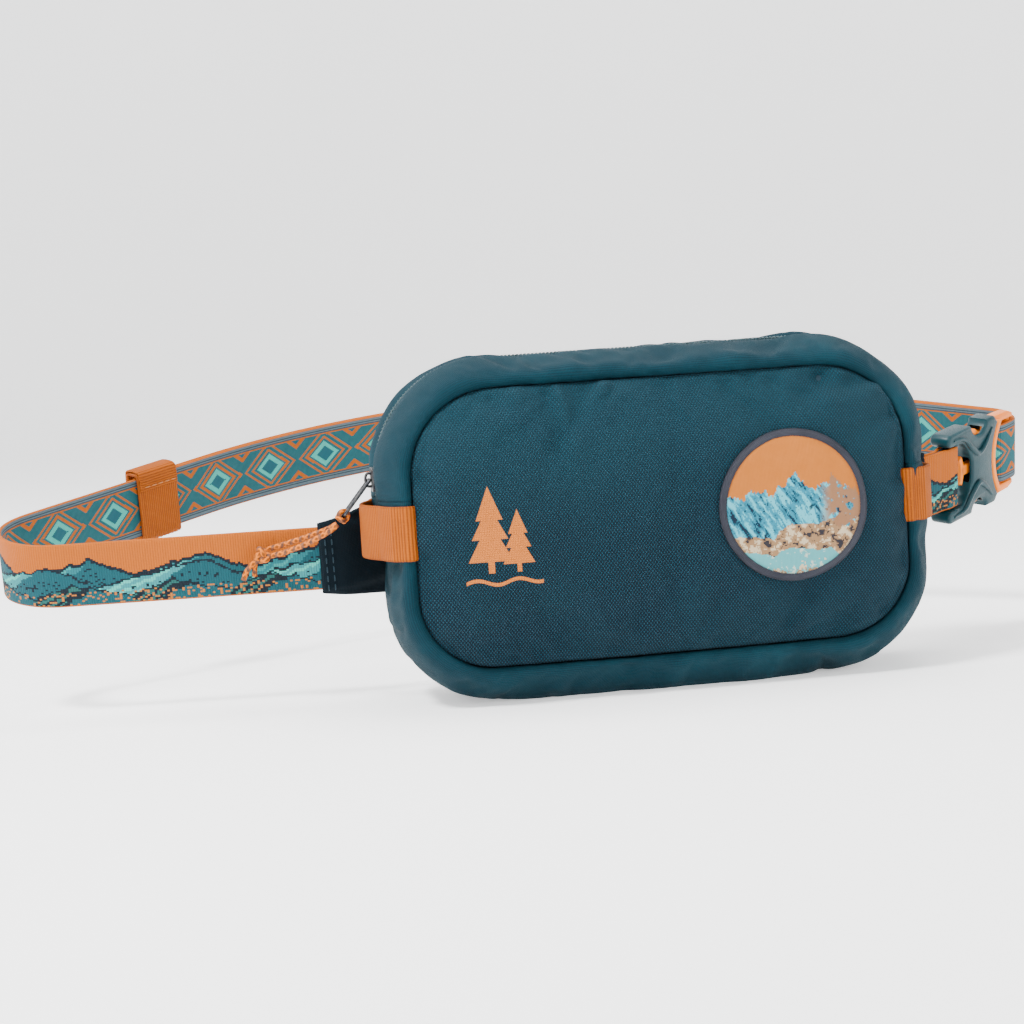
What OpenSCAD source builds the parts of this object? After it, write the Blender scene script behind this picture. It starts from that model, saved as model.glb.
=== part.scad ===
// Small waist pack: a rounded fabric pouch with a two-part front shell and zip,
// carried on a 25 mm webbing belt with a side-release buckle.
// Frame: X to the wearer's left side of the pouch face, -Y forward, +Z up,
// origin under the middle of the pouch on the surface that it stands on.

/* [Pouch] */
// Width of the front and back panels at the seam
panel_w = 183; // [170:1:200]
// Height of the front and back panels at the seam
panel_h = 104; // [98:1:112]
// Corner radius of the panels at the top
panel_r_top = 34; // [26:1:40]
// Corner radius of the panels at the bottom
panel_r_bottom = 30; // [24:1:36]
// Depth between the front seam and the back seam
depth = 56; // [48:1:64]
// How far the side gusset stands out past the panels
bulge_side = 9.5; // [6:0.5:12]
// How far the top gusset stands out past the panels
bulge_top = 7.5; // [5:0.5:12]
// How far the bottom gusset hangs below the panels
bulge_bottom = 14.5; // [10:0.5:18]
// Crown of the front panel
crown_front = 5; // [3:0.5:8]
// Crown of the back panel
crown_back = 3; // [1:0.5:6]

/* [Fabric] */
// Thickness of the outer fabric
fabric_t = 1.2; // [0.8:0.1:1.6]
// Thickness of the tape of the side tabs
tab_t = 1.5; // [1.2:0.1:1.8]
// Thickness of the lining
lining_t = 0.6; // [0.4:0.1:1]
// Thickness of the back padding
foam_t = 4; // [2:0.5:5]
// Thickness of the belt webbing
webbing_t = 1.6; // [1.4:0.1:1.8]

/* [Zip] */
// Height of the zip's two ends above the ground
zip_end_z = 77; // [76:0.5:78]
// Width of one zip tape
tape_w = 9; // [7:0.5:10]
// Diameter of the wire of the puller
puller_wire = 1.3; // [1:0.1:1.6]
// Length of the puller
puller_len = 17; // [14:0.5:20]
// Angle of the puller from straight down
puller_angle = 40; // [36:1:60]
// Diameter of the pull cord
cord_d = 2; // [1.8:0.1:2.2]

/* [Side tabs] */
// Width of the tape of the side tabs
tab_w = 20; // [16:1:22]
// Distance of the outermost point of a tab from the middle
tab_reach = 108; // [106.5:0.5:110]
// Height of the middle of the side tabs
tab_z = 65.5; // [64:0.5:66]

/* [Patch] */
// Diameter of the round patch
patch_d = 56; // [50:1:57]
// Width of the patch's border
patch_border_w = 3.4; // [2.5:0.1:4]
// Offset of the patch from the middle, to the right
patch_x = 46.5; // [40:0.5:47]
// Height of the patch's centre
patch_z = 66; // [64:0.5:68]

/* [Belt] */
// Width of the belt webbing
belt_w = 25; // [25:0.5:25.5]
// How much the belt rises towards the back
belt_rise = 12; // [8:0.5:14]
// How much the belt rises towards the right
belt_roll = 1.8; // [0:0.1:3]
// Height of the belt's middle line at the pouch
belt_z = 59; // [57:0.5:61]
// Angle of the buckle to the pouch's face, seen from above
buckle_turn = 40; // [36:1:44]
// Length of the keeper
keeper_len = 20; // [16:1:24]

/* [Buckle] */
// Width of the female half
buckle_w = 37; // [36:0.5:38]
// Length of the female half
buckle_len = 34; // [34:0.5:36]
// Thickness of the female half
buckle_t = 9; // [8.8:0.1:9.4]
// Radius of the bars that the webbing wraps
bar_r = 1.5; // [1.3:0.1:1.5]

/* [Hidden] */
$fn = 48;

teal = [0.09, 0.27, 0.34];
navy = [0.05, 0.13, 0.19];
orange = [0.80, 0.48, 0.20];
violet = [0.37, 0.35, 0.41];
metal = [0.25, 0.25, 0.27];

gap = 0.3;
half_depth = depth / 2;
flat_y = 10;                          // half-width of the gusset's flat middle
seam_bottom = bulge_bottom;
seam_top = seam_bottom + panel_h;
crest_r_top = panel_r_top + 8;
crest_r_bottom = panel_r_bottom + 8;
corner_steps = 7;
panel_y = half_depth + 0.2;           // inner face of the front and back panels
plateau = 16;                         // inset where a panel's crown becomes flat
face_y = panel_y + fabric_t + crown_front;
tape_drop = fabric_t + 0.2;           // the zip tape lies under the gusset's edge
zip_gap = 0.6;                        // half the space between the two coils
coil_w = 2;
coil_edge = zip_gap + coil_w;
lip_y = 5;                            // where the gusset's folded edges stop
binding_y = [half_depth - 4, half_depth - 9];
binding_d = fabric_t + 2.6;           // inset of the seam bindings
binding_t = 1.4;
zip_arc_r = crest_r_top;
crest_w = panel_w / 2 + bulge_side;
crest_top = seam_top + bulge_top;
zip_arc_x = -crest_w + crest_r_top;
zip_arc_z = crest_top - crest_r_top;

// ---------- outlines of the pouch ----------

// Bulge of the gusset at a distance y from its middle: 1 in the flat middle, 0 at a seam
function bulge(y) = abs(y) <= flat_y ? 1 : 1 - pow((abs(y) - flat_y) / (half_depth - flat_y), 2);

function arc(cx, cz, r, a0, a1) =
    [for (k = [0:corner_steps]) let (a = a0 + (a1 - a0) * k / corner_steps)
        [cx + r * cos(a), cz + r * sin(a)]];

// Half-width, bottom, top and corner radii of the outline with bulge t, moved inwards by d
function half_w(t, d) = panel_w / 2 + bulge_side * t - d;
function low(t, d) = seam_bottom - bulge_bottom * t + d;
function high(t, d) = seam_top + bulge_top * t - d;
function r_high(t, d) = max(2, panel_r_top + (crest_r_top - panel_r_top) * t - d);
function r_low(t, d) = max(2, panel_r_bottom + (crest_r_bottom - panel_r_bottom) * t - d);

// The outline above the zip's ends, from right to left
function upper_rim(t, d, end = gap / 2) =
    let (w = half_w(t, d), r = r_high(t, d), z = high(t, d))
    concat([[w, zip_end_z + end]], arc(w - r, z - r, r, 0, 90),
           arc(r - w, z - r, r, 90, 180), [[-w, zip_end_z + end]]);

// The outline below the zip's ends, from left to right
function lower_rim(t, d) =
    let (w = half_w(t, d), r = r_low(t, d), z = low(t, d))
    concat([[-w, zip_end_z - gap / 2]], arc(r - w, z + r, r, 180, 270),
           arc(w - r, z + r, r, 270, 360), [[w, zip_end_z - gap / 2]]);

// The whole outline
function rim(t, d) =
    let (w = half_w(t, d), rt = r_high(t, d), rb = r_low(t, d), top = high(t, d), z = low(t, d))
    concat(arc(w - rt, top - rt, rt, 0, 90), arc(rt - w, top - rt, rt, 90, 180),
           arc(rb - w, z + rb, rb, 180, 270), arc(w - rb, z + rb, rb, 270, 360));

function at_y(points, y) = [for (p = points) [p.x, y, p.y]];

// ---------- solids from rows of points ----------

function flat(rows) = [for (row = rows, p = row) p];

// Quads between neighbouring rows; wrap_rows joins the last row to the first,
// wrap_points joins the last point of each row to the first
function quads(m, n, wrap_rows, wrap_points) =
    [for (j = [0:m - (wrap_rows ? 1 : 2)], i = [0:n - (wrap_points ? 1 : 2)])
        let (j2 = (j + 1) % m, i2 = (i + 1) % n)
        [j * n + i, j2 * n + i, j2 * n + i2, j * n + i2]];

// A strip whose section is a closed row of points, with quads over its two ends.
// The first half of the rows is one face of the strip and the second half the other.
module strip(rows) {
    m = len(rows);
    n = len(rows[0]);
    ends = [for (j = [0:m / 2 - 2])
        each [[j * n, (m - 1 - j) * n, (m - 2 - j) * n, (j + 1) * n],
              [(j + 1) * n + n - 1, (m - 2 - j) * n + n - 1, (m - 1 - j) * n + n - 1,
               j * n + n - 1]]];
    polyhedron(flat(rows), concat(quads(m, n, true, false), ends));
}

// A closed ring whose section is a closed row of points
module ring(rows) {
    polyhedron(flat(rows), quads(len(rows), len(rows[0]), true, true));
}

// A skin of closed rows, with a flat cap on its first and last row
module dish(rows) {
    m = len(rows);
    n = len(rows[0]);
    first = [for (i = [0:n - 1]) i];
    last = [for (i = [n - 1:-1:0]) (m - 1) * n + i];
    polyhedron(flat(rows), concat(quads(m, n, false, true), [first, last]));
}

function reversed(v) = [for (k = [len(v) - 1:-1:0]) v[k]];

// A piece of the gusset between the depths in ys, between the insets d0 and d1
module gusset_piece(ys, d0, d1, upper) {
    outer = [for (y = ys) at_y(upper ? upper_rim(bulge(y), d0) : lower_rim(bulge(y), d0), y)];
    inner = [for (y = reversed(ys))
        at_y(upper ? upper_rim(bulge(y), d1) : lower_rim(bulge(y), d1), y)];
    strip(concat(outer, inner));
}

function crown(d, height, inset) = let (k = min(1, d / (plateau - inset))) height * k * (2 - k);

// A crowned panel with its outline moved inwards by inset. side is -1 for the front and 1
// for the back, y is the distance of its inner edge from the middle of the pouch
module crowned(side, y, thickness, height, inset) {
    steps = [0, 3, 7, plateau - inset];
    outside = [for (d = steps)
        at_y(rim(0, inset + d), side * (y + thickness + crown(d, height, inset)))];
    inside = [for (d = reversed(steps))
        at_y(rim(0, inset + d), side * (y + crown(d, height, inset)))];
    rows = concat(inside, outside);
    dish(side < 0 ? rows : reversed(rows));
}

// ---------- front shell ----------

rear_edge = [half_depth - gap, 24, 20, 15, flat_y, lip_y];

module front_panel() {
    color(teal) crowned(-1, panel_y, fabric_t, crown_front, 0);
}

module front_lining() {
    color(navy) crowned(-1, panel_y - gap - lining_t, lining_t, crown_front, 2.2);
}

module front_gusset() {
    color(teal) gusset_piece([for (y = rear_edge) -y], 0, fabric_t, true);
}

module front_binding() {
    color(navy) gusset_piece([-binding_y[0], -binding_y[1]], binding_d, binding_d + binding_t, true);
}

module zip_tape(side) {
    ys = side < 0 ? [-tape_w, -coil_edge - 0.1] : [tape_w, coil_edge + 0.1];
    gusset_piece(ys, tape_drop, tape_drop + lining_t, true);
}

module zip_coil(side) {
    gusset_piece([side * coil_edge, side * zip_gap], 0.6, 2.4, true);
}

module front_zip_tape() {
    color(teal) zip_tape(-1);
}

module front_zip_coil() {
    color(navy) zip_coil(-1);
}

module facing_front(y) {
    translate([0, -y, 0]) rotate([90, 0, 0]) children();
}

module patch() {
    color(orange) facing_front(face_y + 0.2) translate([patch_x, patch_z, 0])
        cylinder(h = 1.2, d = patch_d - 2 * patch_border_w - 0.2, $fn = 64);
}

module patch_border() {
    color(violet) facing_front(face_y + 0.2) translate([patch_x, patch_z, 0]) difference() {
        cylinder(h = 1.8, d = patch_d, $fn = 64);
        translate([0, 0, -1]) cylinder(h = 4, d = patch_d - 2 * patch_border_w, $fn = 64);
    }
}

// ---------- gusset, back and lining ----------

module lower_gusset() {
    ys = [half_depth - gap, 24, 20, 15, flat_y];
    color(teal) gusset_piece(concat([for (y = ys) -y], reversed(ys)), 0, fabric_t, false);
}

module rear_gusset() {
    color(teal) gusset_piece(rear_edge, 0, fabric_t, true);
}

module rear_zip_tape() {
    color(teal) zip_tape(1);
}

module rear_zip_coil() {
    color(navy) zip_coil(1);
}

module back_panel() {
    color(navy) crowned(1, panel_y, fabric_t, crown_back, 0);
}

module back_padding() {
    color("gray") crowned(1, panel_y - gap - foam_t, foam_t, crown_back, 5);
}

module back_lining() {
    color(navy) crowned(1, panel_y - 2 * gap - foam_t - lining_t, lining_t, crown_back, 5);
}

// Tape folded over the lower part of the front seam's allowance, inside the pouch
module lower_binding() {
    color(navy) gusset_piece([-binding_y[0], -binding_y[1]], binding_d, binding_d + binding_t, false);
}

// The same tape all the way around the back seam
module back_binding() {
    rows = [for (row = [[1, 0], [0, 0], [0, 1], [1, 1]])
        at_y(rim(bulge(binding_y[row[0]]), binding_d + binding_t * row[1]), binding_y[row[0]])];
    color(navy) ring(rows);
}

// ---------- strips of webbing, drawn in plan and given their width ----------

// Points along a chain of legs, each [length, turn], from point p with heading h
function walk(legs, p, h, k = 0) =
    k == len(legs) ? [p] :
    let (length = legs[k][0], turn = legs[k][1], n = turn == 0 ? 1 : ceil(abs(turn) / 7),
         pts = [for (i = 0, q = p, a = h + turn / n / 2; i < n;
                     i = i + 1, q = q + length / n * [cos(a), sin(a)], a = a + turn / n) q],
         a_last = h + turn - turn / n / 2,
         next = pts[n - 1] + length / n * [cos(a_last), sin(a_last)])
    concat(pts, walk(legs, next, h + turn, k + 1));

function unit(v) = v / norm(v);
function left_of(pts, i) =
    let (a = pts[max(0, i - 1)], b = pts[min(len(pts) - 1, i + 1)], u = unit(b - a)) [-u.y, u.x];

// The same line moved to its left by d
function beside(pts, d) = [for (i = [0:len(pts) - 1]) pts[i] + d * left_of(pts, i)];

module ribbon(pts, thickness) {
    polygon(concat(beside(pts, thickness / 2), reversed(beside(pts, -thickness / 2))));
}

module webbing(pts, width = belt_w, thickness = webbing_t) {
    linear_extrude(width, center = true) ribbon(pts, thickness);
}

// ---------- side tabs ----------

// A loop of tape from the front seam to the back, which lies on the gusset at both ends
// and stands clear of it in the middle
module side_tab() {
    front = -half_depth + 0.6;
    back = half_depth - 8.5;
    stand_off = gap + tab_t / 2;
    rise = tab_reach - crest_w - stand_off - tab_t / 2;
    steps = 16;
    pts = [for (k = [0:steps]) let (y = front + (back - front) * k / steps)
        [-half_w(bulge(y), 0) - stand_off - rise * sin(180 * k / steps), y]];
    translate([0, 0, tab_z]) linear_extrude(tab_w, center = true) ribbon(pts, tab_t);
}

module left_tab() {
    color(orange) side_tab();
}

module right_tab() {
    color(orange) mirror([1, 0, 0]) side_tab();
}

// ---------- belt ----------

// The belt's own plane: it rises towards the back and a little towards the right
module belt_plane() {
    translate([0, half_depth - 1, belt_z]) rotate([belt_rise, -belt_roll, 0]) children();
}

wing_root = panel_w / 2 + 3;
right_legs = [[17, 0], [16, buckle_turn], [6, 0]];
right_line = walk(right_legs, [wing_root, 0], 0);
bar_at = right_line[len(right_line) - 1];
forward = [cos(buckle_turn), sin(buckle_turn)];
male_len = 51;
male_end = bar_at + male_len * forward;
turn_back = [[14, 95]];
round_back = [[84, 0], [118, 45], [21, 0], [152, 38]];
keeper_run = 92;
keeper_at = 27;
left_bend = 60;
left_turn = 134;
start_heading = buckle_turn;

inner_start = male_end + (bar_r + 0.2 + webbing_t / 2) * [-forward.y, forward.x];
inner_legs = concat(turn_back, round_back, [[keeper_run, 0], [left_bend / 2, left_turn / 2]]);
inner_line = walk(inner_legs, inner_start, start_heading);
keeper_heading = start_heading + 95 + 45 + 38;
keeper_line = walk(concat(turn_back, round_back, [[keeper_at, 0]]), inner_start, start_heading);
keeper_pos = keeper_line[len(keeper_line) - 1];
bend_heading = keeper_heading + left_turn / 2;
bend_pos = inner_line[len(inner_line) - 1] + 1.2 * [cos(bend_heading), sin(bend_heading)];
front_heading = bend_heading + left_turn / 2;
left_legs = [[left_bend / 2, left_turn / 2], [98, 0]];
left_line = walk(left_legs, bend_pos, bend_heading);
wing_tip = left_line[len(left_line) - 1];
left_wing_line = walk([[14, 34], [12, 0]], wing_tip, front_heading);

left_gap = 1.6;                       // from the webbing's middle to a wing face's middle
right_gap = 2.6;
right_wing_tip = wing_root + 24;
wing_low = 19;                        // from the belt's middle line to a wing's edges
wing_high = 18;
wing_tip_half = 13.6;

// One face of a wing: a strip cut to a trapezoid that narrows away from the pouch.
// lean moves the top of its root outwards, clear of the gusset
module wing(line, offset, root_x, tip_x, lean) {
    intersection() {
        webbing(beside(line, offset), 60, fabric_t);
        rotate([90, 0, 0]) linear_extrude(100, center = true)
            polygon([[root_x, -wing_low], [tip_x, -wing_tip_half], [tip_x, wing_tip_half],
                     [root_x + lean, wing_high]]);
    }
}

module left_wing_outer() {
    color(navy) belt_plane() wing(left_wing_line, -left_gap, -wing_root, wing_tip.x, 0);
}

module left_wing_inner() {
    color(navy) belt_plane() wing(left_wing_line, left_gap, -wing_root, wing_tip.x, 0);
}

module right_wing_outer() {
    color(navy) belt_plane() wing(right_line, -right_gap, wing_root, right_wing_tip, 4.4);
}

module right_wing_inner() {
    color(navy) belt_plane() wing(right_line, right_gap, wing_root, right_wing_tip, 0.8);
}

module left_strap() {
    color(orange) belt_plane() webbing(concat(left_line, [left_wing_line[1], left_wing_line[2]]));
}

// ---------- buckle ----------
// Drawn with x along the strap from the female bar, y through the thickness, z across

wrap_r = bar_r + 0.2 + webbing_t / 2;
bar_x = 3;                            // the female bar sits between two ears

module buckle_place() {
    belt_plane() translate([bar_at.x, bar_at.y, 0]) rotate([0, 0, buckle_turn]) children();
}

module plate(thickness) {
    rotate([90, 0, 0]) linear_extrude(thickness, center = true) children();
}

module rounded(x0, x1, half_z, r) {
    translate([x0 + r, -half_z]) square([x1 - x0 - 2 * r, 2 * half_z]);
    translate([x0, r - half_z]) square([x1 - x0, 2 * half_z - 2 * r]);
    for (x = [x0 + r, x1 - r], z = [r - half_z, half_z - r]) translate([x, z]) circle(r);
}

module female_outline() {
    difference() {
        rounded(-5, buckle_len, buckle_w / 2, 6);
        translate([-6, -13.2]) square([bar_x - bar_r + 5, 26.4]);
        // window that the webbing passes through, with a round inner edge
        intersection() {
            translate([bar_x + bar_r - 0.6, -13.2]) square([14, 26.4]);
            circle(14.2);
        }
        // notches that show the prongs
        for (side = [-1, 1]) translate([19.5, side * (buckle_w / 2 + 0.5)]) circle(6.2);
        // scooped mouth
        translate([buckle_len + 22, 0]) circle(26);
    }
}

module buckle_female() {
    color(teal) buckle_place() difference() {
        plate(buckle_t) female_outline();
        translate([12, -3.1, -16]) cube([buckle_len, 6.2, 32]);
        // the frame is thinner around the bar, so that the webbing can wrap it
        for (y = [-buckle_t, bar_r - 0.1]) translate([-6, y, -13.2])
            cube([bar_x + bar_r + 7, buckle_t - bar_r + 0.1, 26.4]);
    }
}

flange_x = buckle_len + 0.4;
outer_bar_x = male_len - bar_r - 1;
inner_bar_x = outer_bar_x - 8;
prong_z = 11.5;
prong_pivot_x = 26.5;

module buckle_male() {
    color(orange) buckle_place() {
        // adjuster frame with its two bars
        for (side = [-1, 1]) translate([flange_x + 1, -2.2, side * 15.2 - 1.7])
            cube([male_len - flange_x - 1, 4.4, 3.4]);
        for (x = [inner_bar_x, outer_bar_x]) translate([x, 0, 0])
            cylinder(h = 28, r = bar_r, center = true);
        // flange outside the mouth and tongue inside it
        translate([flange_x, -4.2, -17]) cube([2.4, 8.4, 34]);
        translate([28.6, -2.8, -9.2]) cube([flange_x - 28.4, 5.6, 18.4]);
        // centre guide with its curved nose
        translate([10, -1.6, -2.2]) cube([19, 3.2, 4.4]);
        plate(3.2) intersection() {
            difference() {
                circle(12.2);
                circle(9.6);
            }
            translate([5, -7]) square([12, 14]);
        }
    }
}

module prong() {
    translate([prong_pivot_x, 0, prong_z]) rotate([90, 0, 0])
        cylinder(h = 4.8, r = 1.6, center = true);
    plate(4.8) polygon([[14, 10.3], [26.5, 10], [26.5, 13], [22.5, 13.4], [21, 15.5],
                        [17, 15.5], [14, 12.8]]);
}

module upper_prong() {
    color(orange) buckle_place() prong();
}

module lower_prong() {
    color(orange) buckle_place() mirror([0, 0, 1]) prong();
}

// A point given along and beside the buckle's line, in the belt's plan
function on_buckle(x, y) = bar_at + x * forward + y * [-forward.y, forward.x];

// Half a turn of webbing around a bar, from its front to its back
function wrap(bar_x, from, to) =
    [for (a = [from:(to - from) / 8:to]) on_buckle(bar_x + wrap_r * cos(a), wrap_r * sin(a))];

// One strap folded around the female bar, with both runs inside the wing
module right_strap() {
    run = [for (k = [1:6]) right_line[k]];
    wrap_x = bar_x - 4.5;             // where the runs meet the straight part of the buckle
    wrap_y = wrap_r + 0.1;
    pts = concat(beside(run, -1.1), [on_buckle(wrap_x, -wrap_y)], wrap(bar_x, -90, 90),
                 [on_buckle(wrap_x, wrap_y)], reversed(beside(run, 1.1)));
    color(orange) belt_plane() webbing(pts);
}

// ---------- belt and keeper ----------

tail_gap = webbing_t + gap;
tail_line = walk(concat(turn_back, round_back, [[keeper_at + keeper_len / 2 - 2, 0]]),
                 inner_start, start_heading);

module belt_webbing() {
    tail = beside(tail_line, -tail_gap);
    wrapped = [for (a = [270:-22.5:90]) on_buckle(inner_bar_x + wrap_r * cos(a),
                                                 wrap_r * sin(a))];
    tail_points = [for (k = [len(tail) - 1:-1:6]) tail[k]];
    crossing = [on_buckle(male_len + 1.6, -wrap_r + 0.6), on_buckle(male_len, -wrap_r)];
    color(orange) belt_plane() webbing(concat(tail_points, crossing, wrapped, inner_line));
}

module keeper() {
    color(orange) belt_plane() translate([keeper_pos.x, keeper_pos.y, 0])
        rotate([0, 0, keeper_heading]) translate([0, -tail_gap / 2, 0]) difference() {
            cube([keeper_len, 6.6, belt_w + 3.4], center = true);
            cube([keeper_len + 2, 4.2, belt_w + 0.8], center = true);
        }
}

// ---------- zip slider and pull ----------

pivot_x = -crest_w - 2.5;
puller_half = 2.6;                    // half-width of the puller's wire loop
leg = puller_len - puller_half - puller_wire / 2;
cord_r = cord_d / 2;

module slider() {
    color(metal) translate([-crest_w, 0, zip_arc_z]) {
        // outer plate, inner plate and the post between the two coils
        translate([-1.7, -4.6, -4.5]) cube([1.3, 9.2, 9]);
        translate([3.3, -4.2, -4.5]) cube([1, 8.4, 9]);
        translate([-1, -0.3, 0.5]) cube([4.6, 0.6, 3.5]);
        // bridge over the puller's cross wire
        for (z = [-2.4, 1.4]) translate([-4.2, -1, z]) cube([3, 2, 1]);
        translate([-4.3, -1, -2.4]) cube([0.95, 2, 4.8]);
    }
}

module puller_place() {
    translate([pivot_x, 0, zip_arc_z]) rotate([0, 90 + puller_angle, 0]) children();
}

// A closed wire loop: cross wire, two legs and a round end
module puller() {
    wire_r = puller_wire / 2;
    color(metal) puller_place() {
        rotate([90, 0, 0]) cylinder(h = 2 * puller_half, r = wire_r, center = true);
        for (y = [-puller_half, puller_half]) translate([0, y, 0]) {
            sphere(wire_r);
            rotate([0, 90, 0]) cylinder(h = leg, r = wire_r);
        }
        translate([leg, 0, 0]) rotate([0, 0, -90])
            rotate_extrude(angle = 180) translate([puller_half, 0]) circle(wire_r);
    }
}

// ---------- pull cord ----------

// The two strands of one cord, from the hitch through the knot to their loose ends
front_route = [[-116.5, -1.3, 68.5], [-118.8, -0.7, 66.7], [-121.5, 1, 65], [-124.5, 3.5, 63.3],
               [-127.5, 6, 61.8], [-130.5, 8.6, 60.4], [-133.5, 11.2, 59.2], [-136.5, 13.7, 58.2],
               [-139.5, 15.9, 57.4], [-142.3, 17.3, 56.8], [-144.8, 18, 56], [-147, 18.3, 54.8],
               [-148.9, 18.5, 53.2], [-150.4, 18.6, 51], [-151.5, 18.6, 48.5]];
rear_route = [[-116.5, 1.3, 68.5], [-118.8, 2, 67.3], [-121.5, 4, 66.1], [-124.4, 6.6, 65],
              [-127.4, 9.2, 63.9], [-130.4, 11.8, 62.8], [-133.3, 14.1, 61.9], [-136.2, 16.1, 61],
              [-139, 17.7, 60.2], [-141.6, 18.8, 59.4], [-143.8, 19.4, 58.4], [-145.4, 19.8, 57],
              [-146.4, 20, 55], [-146.9, 20.1, 52.4], [-147, 20.1, 49.5]];
knot_at = [-144, 17.2, 57.4];
knot_r = 4;

// A tube with eight sides along a route
module tube(route, r) {
    n = len(route);
    rows = [for (i = [0:n - 1])
        let (t = unit(route[min(n - 1, i + 1)] - route[max(0, i - 1)]),
             u = unit(cross(t, [0, 1, 0])), v = cross(t, u))
        [for (k = [0:7]) route[i] + r * (cos(45 * k) * u + sin(45 * k) * v)]];
    dish(rows);
}

module cord_hitch() {
    color(orange) puller_place() translate([leg + puller_half, 0, 0]) rotate([90, 0, 0])
        rotate_extrude() translate([puller_wire / 2 + cord_r + 0.1, 0]) circle(cord_r);
}

module cord_front() {
    color(orange) tube(front_route, cord_r);
}

module cord_rear() {
    color(orange) tube(rear_route, cord_r);
}

module cord_knot() {
    color(orange) translate(knot_at) sphere(knot_r);
}

front_panel();
front_lining();
front_gusset();
front_binding();
front_zip_tape();
front_zip_coil();
patch();
patch_border();
lower_gusset();
lower_binding();
rear_gusset();
rear_zip_tape();
rear_zip_coil();
back_panel();
back_padding();
back_lining();
back_binding();
left_tab();
right_tab();
left_wing_outer();
left_wing_inner();
right_wing_outer();
right_wing_inner();
left_strap();
right_strap();
buckle_female();
buckle_male();
upper_prong();
lower_prong();
belt_webbing();
keeper();
slider();
puller();
cord_hitch();
cord_front();
cord_rear();
cord_knot();
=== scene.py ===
import math
import random

import bmesh
import bpy
import numpy as np
from mathutils import Matrix, Vector, noise
from mathutils.bvhtree import BVHTree


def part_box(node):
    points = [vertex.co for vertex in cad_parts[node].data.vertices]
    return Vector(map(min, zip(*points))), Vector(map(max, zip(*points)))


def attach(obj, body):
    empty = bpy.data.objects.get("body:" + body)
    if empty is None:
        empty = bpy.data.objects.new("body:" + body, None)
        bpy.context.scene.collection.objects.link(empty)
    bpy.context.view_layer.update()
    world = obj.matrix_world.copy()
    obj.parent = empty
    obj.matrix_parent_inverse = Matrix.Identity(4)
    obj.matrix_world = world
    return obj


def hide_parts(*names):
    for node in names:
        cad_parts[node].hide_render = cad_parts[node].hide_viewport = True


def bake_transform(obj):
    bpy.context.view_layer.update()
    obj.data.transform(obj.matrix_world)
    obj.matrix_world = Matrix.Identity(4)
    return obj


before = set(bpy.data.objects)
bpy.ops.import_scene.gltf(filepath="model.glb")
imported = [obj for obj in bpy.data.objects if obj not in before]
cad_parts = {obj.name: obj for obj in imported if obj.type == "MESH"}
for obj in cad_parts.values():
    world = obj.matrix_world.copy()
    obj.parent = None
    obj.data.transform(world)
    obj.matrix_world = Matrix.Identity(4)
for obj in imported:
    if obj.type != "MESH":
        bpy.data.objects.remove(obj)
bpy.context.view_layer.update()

MM = 0.001


# ---------------------------------------------------------------- camera and lights

# The camera looks at the target from a little to the left and slightly above.
def set_camera():
    azimuth, elevation, roll = math.radians(-9), math.radians(5), math.radians(-3.7)
    target = Vector((-0.051, 0, 0.068))
    back = Vector((math.sin(azimuth) * math.cos(elevation),
                   -math.cos(azimuth) * math.cos(elevation), math.sin(elevation)))
    data = bpy.data.cameras.new("camera")
    data.lens = 84.8
    data.clip_end = 20
    camera = bpy.data.objects.new("camera", data)
    bpy.context.scene.collection.objects.link(camera)
    turn = (-back).to_track_quat("-Z", "Y").to_matrix() @ Matrix.Rotation(roll, 3, "Z")
    camera.matrix_world = Matrix.Translation(target + back * 0.9) @ turn.to_4x4()
    bpy.context.scene.camera = camera


def area_light(name, place, target, size, power):
    data = bpy.data.lights.new(name, "AREA")
    data.size = size
    data.energy = power
    light = bpy.data.objects.new(name, data)
    bpy.context.scene.collection.objects.link(light)
    light.location = place
    light.rotation_euler = (Vector(target) - Vector(place)).to_track_quat("-Z", "Y").to_euler()


# ---------------------------------------------------------------- meshes from rows of points

def new_object(name, verts, faces, materials, face_slots=None):
    mesh = bpy.data.meshes.new(name)
    mesh.from_pydata([tuple(v) for v in verts], [], faces)
    for material in materials:
        mesh.materials.append(material)
    if face_slots is not None:
        mesh.polygons.foreach_set("material_index", face_slots)
    mesh.polygons.foreach_set("use_smooth", [True] * len(mesh.polygons))
    mesh.update()
    obj = bpy.data.objects.new(name, mesh)
    bpy.context.scene.collection.objects.link(obj)
    return obj


def set_uv(obj, uv_of_corner):
    layer = obj.data.uv_layers.new(name="cloth")
    layer.data.foreach_set("uv", np.array(uv_of_corner, dtype=np.float32).ravel())


# A skin over rows of points, with quads between neighbours. u and v give each row's and each
# column's place along the cloth, in metres.
def grid(name, rows, materials, u, v, wrap_rows=False, wrap_columns=False, caps=False,
         slot_of=None, skip=None):
    m, n = len(rows), len(rows[0])
    verts = [p for row in rows for p in row]
    faces, uvs, slots = [], [], []
    for i in range(m if wrap_rows else m - 1):
        for j in range(n if wrap_columns else n - 1):
            if skip and skip(i, j):
                continue
            i2, j2 = (i + 1) % m, (j + 1) % n
            faces.append((i * n + j, i * n + j2, i2 * n + j2, i2 * n + j))
            uvs += [(u[i], v[j]), (u[i], v[j + 1]), (u[i + 1], v[j + 1]), (u[i + 1], v[j])]
            slots.append(slot_of(i, j) if slot_of else 0)
    if caps:
        for i, order in ((0, range(n - 1, -1, -1)), (m - 1, range(n))):
            faces.append(tuple(i * n + j for j in order))
            uvs += [(u[i], v[j]) for j in order]
            slots.append(0)
    obj = new_object(name, verts, faces, materials, slots)
    set_uv(obj, uvs)
    return obj


def lengths(points):
    p = np.array(points, float)
    return np.concatenate([[0], np.cumsum(np.linalg.norm(np.diff(p, axis=0), axis=1))])


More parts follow.
